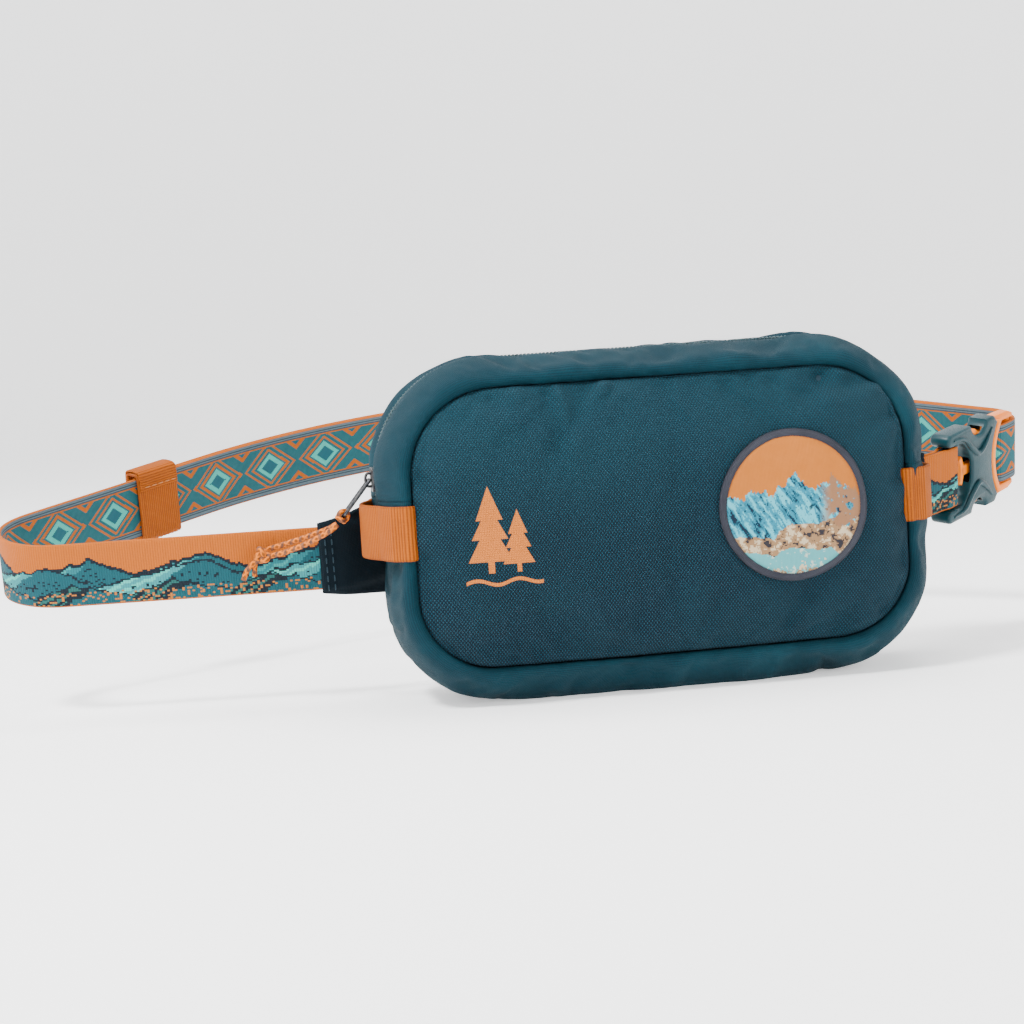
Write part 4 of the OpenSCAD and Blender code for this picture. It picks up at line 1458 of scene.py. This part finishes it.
def build_keeper():
    angle = math.radians(keeper_heading)
    forward, side = (math.cos(angle), math.sin(angle)), (-math.sin(angle), math.cos(angle))
    half_t, half_w, wall = 2.7 * MM, 13.6 * MM, 1.1 * MM

    def ring(grow, corner):
        pts = []
        a, b = half_t + grow, half_w + grow
        for cx, cz, start in ((1, 1, 0), (-1, 1, 90), (-1, -1, 180), (1, -1, 270)):
            for t in np.linspace(start, start + 90, 6):
                t = math.radians(t)
                pts.append((cx * (a - corner) + corner * math.cos(t),
                            cz * (b - corner) + corner * math.sin(t)))
        return pts

    outer, inner = ring(wall, 1.9 * MM), ring(0, 0.9 * MM)
    outer = outer[3:] + outer[:3]
    inner = inner[3:] + inner[:3]
    rows = []
    steps = np.linspace(-KEEPER_LEN / 2, KEEPER_LEN / 2, 27)
    sections = [(x, outer) for x in steps] + [(x, inner) for x in steps[::-1]]
    for x, shape in sections:
        swell = 0.18 * MM * math.cos(2 * math.pi * x / (2 * MM)) if shape is outer else 0
        pull = 0.3 * MM if shape is outer and abs(x) > KEEPER_LEN / 2 - 0.1 * MM else 0
        row = []
        for y, z in shape:
            r = math.hypot(y, z)
            y2 = y + (swell - pull) * y / r - 0.95 * MM
            z2 = z + (swell - pull) * z / r
            row.append(on_belt(KEEPER[0] + x * forward[0] + y2 * side[0],
                               KEEPER[1] + x * forward[1] + y2 * side[1], z2))
        rows.append(row)
    u = [x for x, _ in sections] + [sections[0][0]]
    v = lengths(outer + [outer[0]])
    loop = grid("keeper_loop", rows, [KEEPER_TAPE], u, v, wrap_rows=True, wrap_columns=True)
    face_outwards(loop)

    # the tape's free end, lapped over the top edge and stitched
    flap_line = []
    for y, z in [(-half_t - wall - 0.75 * MM, half_w - 6 * MM),
                 (-half_t - wall - 0.75 * MM, half_w - 2 * MM),
                 (-half_t - wall - 0.2 * MM, half_w + wall),
                 (-half_t + 1.2 * MM, half_w + wall + 0.75 * MM),
                 (half_t - 1.2 * MM, half_w + wall + 0.75 * MM),
                 (half_t + wall + 0.2 * MM, half_w + wall),
                 (half_t + wall + 0.75 * MM, half_w - 2 * MM),
                 (half_t + wall + 0.75 * MM, half_w - 6 * MM)]:
        y -= 0.95 * MM
        flap_line.append(on_belt(KEEPER[0] + y * side[0], KEEPER[1] + y * side[1], z))
    across = BELT_TURN @ Vector((forward[0], forward[1], 0))
    flap = strap("keeper_flap", smooth_line(flap_line, 5), across, KEEPER_LEN / 2 - 0.3 * MM,
                 1.0 * MM, [KEEPER_TAPE])
    rows_of_stitches = []
    for face in (-1, 1):
        y = face * (half_t + wall + 1.3 * MM) - 0.95 * MM
        spots = [on_belt(KEEPER[0] + x * forward[0] + y * side[0],
                         KEEPER[1] + x * forward[1] + y * side[1], half_w - 4.6 * MM)
                 for x in np.linspace(-8.6 * MM, 8.6 * MM, 9)]
        away = BELT_TURN @ Vector((face * side[0], face * side[1], 0))
        rows_of_stitches.append(stitches("keeper_row", spots, [away] * 9, ORANGE_THREAD))
    settle(join("keeper_tape", [loop, flap] + rows_of_stitches), "orange_tape", "keeper", "keeper")


build_keeper()


# ---------------------------------------------------------------- buckle

# Buckle pieces are drawn with x along the strap from the female bar, y through the thickness
# and z across, and then put in place.
def put_on_buckle(obj):
    turn = Matrix.Rotation(math.radians(BUCKLE_TURN), 3, "Z")
    place = (Matrix.Translation(BELT_ORIGIN) @ (BELT_TURN @ turn).to_4x4())
    place.translation = on_belt(*BAR)
    obj.data.transform(place)
    obj.data.update()
    return obj


# A plate cut along outlines in x and z, with rounded edges
def plate(name, outlines, thickness, edge, material, y=0.0):
    curve = bpy.data.curves.new(name, "CURVE")
    curve.dimensions = "2D"
    curve.fill_mode = "BOTH"
    curve.extrude = thickness / 2 - edge
    curve.bevel_depth = edge
    curve.bevel_resolution = 2
    curve.offset = -edge
    for points in outlines:
        spline = curve.splines.new("POLY")
        spline.points.add(len(points) - 1)
        for k, (x, z) in enumerate(points):
            spline.points[k].co = (x, z, 0, 1)
        spline.use_cyclic_u = True
    source = bpy.data.objects.new(name + "_outline", curve)
    bpy.context.scene.collection.objects.link(source)
    graph = bpy.context.evaluated_depsgraph_get()
    mesh = bpy.data.meshes.new_from_object(source.evaluated_get(graph))
    bpy.data.objects.remove(source)
    mesh.transform(Matrix.Translation((0, y, 0)) @ Matrix.Rotation(math.pi / 2, 4, "X"))
    work = bmesh.new()
    work.from_mesh(mesh)
    bmesh.ops.remove_doubles(work, verts=work.verts, dist=1e-6)
    bmesh.ops.recalc_face_normals(work, faces=work.faces)
    work.to_mesh(mesh)
    work.free()
    mesh.materials.clear()
    mesh.materials.append(material)
    mesh.polygons.foreach_set("use_smooth", [False] * len(mesh.polygons))
    obj = bpy.data.objects.new(name, mesh)
    bpy.context.scene.collection.objects.link(obj)
    return obj


def arc_points(cx, cz, r, a0, a1, steps=12):
    return [(cx + r * math.cos(math.radians(a)), cz + r * math.sin(math.radians(a)))
            for a in np.linspace(a0, a1, steps + 1)]


def rectangle(x0, x1, half):
    return mm([(x0, -half), (x1, -half), (x1, half), (x0, half)])


def cut(obj, tool):
    change = obj.modifiers.new("cut", "BOOLEAN")
    change.operation = "DIFFERENCE"
    change.object = tool
    change.solver = "EXACT"
    apply_modifiers(obj)
    bpy.data.objects.remove(tool)


def shade_by_angle(obj):
    obj.data.polygons.foreach_set("use_smooth", [True] * len(obj.data.polygons))
    obj.data.set_sharp_from_angle(angle=math.radians(35))
    return obj


def female_outline():
    length, half = 34 * MM, 18.4 * MM
    mouth = 26 * MM
    start = math.degrees(math.asin((half - 3 * MM) / mouth))
    # upper half from the mouth to the ear beside the bar, then mirrored
    upper = arc_points(length + 22 * MM, 0, mouth, 180, 180 - start, 12)
    upper += arc_points(31.2 * MM, half - 2.4 * MM, 2.4 * MM, 20, 100, 5)
    upper += arc_points(19.5 * MM, half + 1.2 * MM, 6.2 * MM, -12, -168, 12)
    upper += arc_points(-2.4 * MM, half - 2.6 * MM, 2.6 * MM, 90, 262, 12)
    upper += [(0.5 * MM, 13.2 * MM)]
    return upper + [(x, -z) for x, z in upper[::-1]][:-1]


def female_window():
    top = [(3.9 * MM, 12.9 * MM)] + arc_points(0, 0, 14.2 * MM, 64, 12, 8)
    return top + [(x, -z) for x, z in top[::-1]]


def build_buckle():
    body = plate("female", [female_outline(), female_window()], 9 * MM, 1.3 * MM, BUCKLE_TEAL)
    cut(body, plate("hollow", [rectangle(13.2, 40, 15.6)], 6.0 * MM, 0.5 * MM, BUCKLE_TEAL))
    # the frame is thinner where the webbing folds around the bar
    for side in (-1, 1):
        cut(body, plate("step", [rectangle(-7, 5.4, 13)], 6 * MM, 0.6 * MM, BUCKLE_TEAL,
                        y=side * 4.4 * MM))
    # raised rib along each side of the window
    ribs = []
    for side in (-1, 1):
        for face in (-1, 1):
            spots = [(-1, 4.4, 15.8), (7, 4.6, 14.6), (13, 4.6, 9.5), (18.5, 4.65, 6.2),
                     (24, 4.6, 9.0), (29.5, 4.45, 14.2)]
            line = smooth_line(mm([(x, face * y, side * z) for x, y, z in spots]), 7)
            radius = np.interp(np.linspace(0, 1, 36), [0, 0.2, 0.5, 0.8, 1],
                               np.array([0.5, 1.1, 1.3, 1.1, 0.5]) * MM)
            ribs.append(tube("rib", line, radius[:len(line)], BUCKLE_TEAL, 10))
    body = shade_by_angle(join("buckle_body", [body] + ribs))
    settle(put_on_buckle(body), "buckle_teal", "pack", "buckle_female")

    # male half: flange that follows the mouth, rails, two bars, tongue and centre guide
    mouth = arc_points(56 * MM, 0, 25.4 * MM, 180 - 38, 180 + 38, 16)
    back = arc_points(56 * MM, 0, 22.6 * MM, 180 + 42, 180 - 42, 16)
    parts = [plate("flange", [mouth + back], 8.4 * MM, 0.9 * MM, BUCKLE_ORANGE)]
    for side in (-1, 1):
        rail = [(34.5, 17), (47, 16.6), (50.6, 15.2), (50.6, 13.4), (33.6, 13.4)]
        parts.append(plate("rail", [mm([(x, side * z) for x, z in rail])], 4.6 * MM, 0.8 * MM,
                           BUCKLE_ORANGE))
    for x in (40.5, 48.5):
        bar = [(x * MM, 0, z * MM) for z in np.linspace(-14.4, 14.4, 13)]
        parts.append(tube("bar", bar, 1.5 * MM, BUCKLE_ORANGE, 16))
    parts.append(plate("tongue", [rectangle(28.8, 32, 9)], 5.4 * MM, 0.7 * MM, BUCKLE_ORANGE))
    parts.append(plate("guide", [rectangle(10, 29.5, 2.1)], 3.1 * MM, 0.6 * MM, BUCKLE_ORANGE))
    nose = (arc_points(0, 0, 12.1 * MM, -30, 30, 12) + arc_points(0, 0, 9.8 * MM, 30, -30, 12))
    parts.append(plate("nose", [nose], 3.1 * MM, 0.6 * MM, BUCKLE_ORANGE))
    male = shade_by_angle(join("buckle_adjuster", parts))
    settle(put_on_buckle(male), "buckle_orange", "belt", "buckle_male")

    # prongs: a springy arm with a round lobe that shows in the notch
    for name, side in (("upper_prong", 1), ("lower_prong", -1)):
        lobe = arc_points(19.2 * MM, 12.6 * MM, 3.0 * MM, 10, 150, 10)
        shape = (mm([(27.6, 10.2), (27.6, 12.8), (23.4, 13.0)]) + lobe
                 + mm([(14.2, 12.6), (13.9, 10.6)]))
        obj = plate(name + "_arm", [[(x, side * z) for x, z in shape]], 4.7 * MM, 0.7 * MM,
                    BUCKLE_ORANGE)
        settle(put_on_buckle(shade_by_angle(obj)), "buckle_orange", name, name)


build_buckle()


# ---------------------------------------------------------------- zip slider and puller

PIVOT = Vector((-CREST_HALF - 2.5 * MM, 0, 84 * MM))
PULL_ANGLE = math.radians(40)
PULL_DOWN = Vector((-math.sin(PULL_ANGLE), 0, -math.cos(PULL_ANGLE)))
WIRE = 1.3 * MM
LOOP_HALF = 2.6 * MM
LEG = 13.75 * MM


def build_slider():
    x0, z0 = -CREST_HALF, PIVOT.z

    def placed(obj, x):
        obj.data.transform(Matrix.Translation((x, 0, z0)) @ Matrix.Rotation(
            math.pi / 2, 4, "Z"))
        return obj

    # plates seen along X: outline in y and z, wider at the top than at the bottom
    outer_shape = (mm([(-4.6, 3.2), (-4.2, 4.4)]) + arc_points(0, 0.6 * MM, 4.0 * MM, 110, 70, 4)
                   + mm([(4.2, 4.4), (4.6, 3.2), (3.6, -1), (3.2, -4.2), (2.2, -4.5),
                         (-2.2, -4.5), (-3.2, -4.2), (-3.6, -1)]))
    parts = [placed(plate("outer", [outer_shape], 1.3 * MM, 0.35 * MM, METAL), x0 - 1.05 * MM),
             placed(plate("inner", [outer_shape], 1.0 * MM, 0.3 * MM, METAL), x0 + 3.8 * MM)]
    post = mm([(-0.3, 1), (0.3, 1), (0.3, 4), (-0.3, 4)])
    parts.append(placed(plate("post", [post], 4.6 * MM, 0.1 * MM, METAL), x0 + 1.3 * MM))
    arch = [(-1.2, -2.4), (-3.3, -2.2), (-3.9, 0), (-3.3, 2.2), (-1.2, 2.4)]
    bridge = smooth_line([(x0 + x, 0, z0 + z) for x, z in mm(arch)], 6)
    parts.append(tube("bridge", bridge, 0.55 * MM, METAL, 10))
    settle(shade_by_angle(join("slider_body", parts)), "gunmetal", "slider", "slider")


def build_puller():
    def at(along, across):
        return PIVOT + PULL_DOWN * along + Vector((0, across, 0))

    loop = [at(0, -LOOP_HALF + 0.4 * MM), at(0, 0), at(0, LOOP_HALF - 0.4 * MM),
            at(0.35 * MM, LOOP_HALF - 0.1 * MM)]
    loop += [at(LEG * k, LOOP_HALF) for k in np.linspace(0.06, 1, 9)]
    loop += [at(LEG + LOOP_HALF * math.sin(a), LOOP_HALF * math.cos(a))
             for a in np.linspace(0, math.pi, 13)[1:-1]]
    loop += [at(LEG * k, -LOOP_HALF) for k in np.linspace(1, 0.06, 9)]
    loop += [at(0.35 * MM, -LOOP_HALF + 0.1 * MM)]
    obj = tube("puller_wire", loop, WIRE / 2, METAL, 12, closed=True)
    settle(obj, "gunmetal", "pull", "puller")


build_slider()
build_puller()

# ---------------------------------------------------------------- pull cord

CORD_D = 2 * MM
FRONT_ROUTE = [(-0.1165, -0.0013, 0.0685), (-0.1188, -0.0007, 0.0667), (-0.1215, 0.001, 0.065),
               (-0.1245, 0.0035, 0.0633), (-0.1275, 0.006, 0.0618), (-0.1305, 0.0086, 0.0604),
               (-0.1335, 0.0112, 0.0592), (-0.1365, 0.0137, 0.0582), (-0.1395, 0.0159, 0.0574),
               (-0.1423, 0.0173, 0.0568), (-0.1448, 0.018, 0.056), (-0.147, 0.0183, 0.0548),
               (-0.1489, 0.0185, 0.0532), (-0.1504, 0.0186, 0.051), (-0.1515, 0.0186, 0.0485)]
REAR_ROUTE = [(-0.1165, 0.0013, 0.0685), (-0.1188, 0.002, 0.0673), (-0.1215, 0.004, 0.0661),
              (-0.1244, 0.0066, 0.065), (-0.1274, 0.0092, 0.0639), (-0.1304, 0.0118, 0.0628),
              (-0.1333, 0.0141, 0.0619), (-0.1362, 0.0161, 0.061), (-0.139, 0.0177, 0.0602),
              (-0.1416, 0.0188, 0.0594), (-0.1438, 0.0194, 0.0584), (-0.1454, 0.0198, 0.057),
              (-0.1464, 0.02, 0.055), (-0.1469, 0.0201, 0.0524), (-0.147, 0.0201, 0.0495)]
KNOT = np.array([-0.144, 0.0172, 0.0574])


def build_cords():
    # girth hitch: a bight of cord around the end of the wire loop
    centre = PIVOT + PULL_DOWN * (LEG + LOOP_HALF)
    side = Vector((0, 1, 0))
    hitch = []
    for a in np.linspace(0, 2 * math.pi, 28, endpoint=False):
        r = WIRE / 2 + CORD_D / 2 + 0.1 * MM
        hitch.append(centre + PULL_DOWN * (r * math.cos(a))
                     + PULL_DOWN.cross(side) * (r * math.sin(a)) + side * (0.9 * MM * math.sin(a)))
    hitch = tube("hitch", hitch, CORD_D / 2, CORD, 12, closed=True)
    band = [centre + PULL_DOWN * (1.6 * MM) + side * (1.5 * MM * math.cos(a))
            + PULL_DOWN.cross(side) * (1.5 * MM * math.sin(a))
            for a in np.linspace(0, 2 * math.pi, 24, endpoint=False)]
    band = tube("band", band, CORD_D / 2 * 0.9, CORD, 12, closed=True)
    hitch = join("cord_hitch_loop", [hitch, band])
    settle(hitch, "cord", "pull", "cord_hitch")

    # overhand knot of both strands: a trefoil, squashed along the cord
    run = np.array(FRONT_ROUTE[9]) - np.array(FRONT_ROUTE[7])
    run = run / np.linalg.norm(run)
    up = np.cross(run, [0, 1, 0])
    up /= np.linalg.norm(up)
    out = np.cross(up, run)
    knots = []
    for shift in (-0.5, 0.5):
        points = []
        for a in np.linspace(0, 2 * math.pi, 72, endpoint=False):
            x = math.sin(a) + 2 * math.sin(2 * a)
            y = math.cos(a) - 2 * math.cos(2 * a)
            z = -math.sin(3 * a)
            points.append(KNOT + (run * (x * 0.80 + shift * 1.0) + up * (y * 0.92)
                                  + out * (z * 0.95 + shift * 1.1)) * MM)
        knots.append(tube("turns", points, 0.95 * MM, CORD, 10, closed=True))
    knot = join("cord_knot_turns", knots)
    settle(knot, "cord", "pull", "cord_knot")

    for name, route in (("cord_front", FRONT_ROUTE), ("cord_rear", REAR_ROUTE)):
        line = smooth_line(route, 5)
        obj = tube(name + "_strand", line, CORD_D / 2, CORD, 12)
        settle(obj, "cord", "pull", name)


build_cords()


# ---------------------------------------------------------------- studio

def backdrop_material():
    n = Nodes("backdrop")
    place, _ = n.place()
    tone = n.noise(place, 3.0, 2.0)
    body = n.mix(tone, (0.90, 0.90, 0.90), (0.94, 0.94, 0.94))
    return n.finish(body, 0.9, Specular_IOR_Level=0.1, Emission_Color=(1, 1, 1, 1),
                    Emission_Strength=0.5)


def build_stage():
    # a round floor that curves up into a wall on every side
    reach, radius, height = 2.6, 0.6, 2.6
    profile = [(0.001, 0.0), (reach - radius, 0.0)]
    profile += [(reach - radius + radius * math.sin(a), radius - radius * math.cos(a))
                for a in np.linspace(0, math.pi / 2, 13)[1:]]
    profile += [(reach, height)]
    turns = np.linspace(0, 2 * math.pi, 97)[:-1]
    rows = [[Vector((r * math.cos(a), r * math.sin(a), z - 0.2 * MM)) for a in turns]
            for r, z in profile]
    floor = grid("studio_floor", rows, [backdrop_material()], list(lengths(profile)),
                 list(np.linspace(0, 2 * math.pi * reach, 97)), wrap_columns=True)
    world = bpy.data.worlds.new("studio")
    world.use_nodes = True
    world.node_tree.nodes["Background"].inputs[0].default_value = (0.95, 0.97, 1.0, 1)
    world.node_tree.nodes["Background"].inputs[1].default_value = 0.42
    bpy.context.scene.world = world
    middle = (-0.02, 0, 0.06)
    area_light("key", (-0.75, -0.42, 1.3), middle, 0.3, 44)
    area_light("fill", (0.9, -1.2, 0.6), middle, 1.0, 9)
    area_light("top", (0.1, 0.25, 1.3), middle, 0.8, 16)
    area_light("rim", (-1.0, 0.6, 0.6), middle, 0.5, 8)


set_camera()
build_stage()
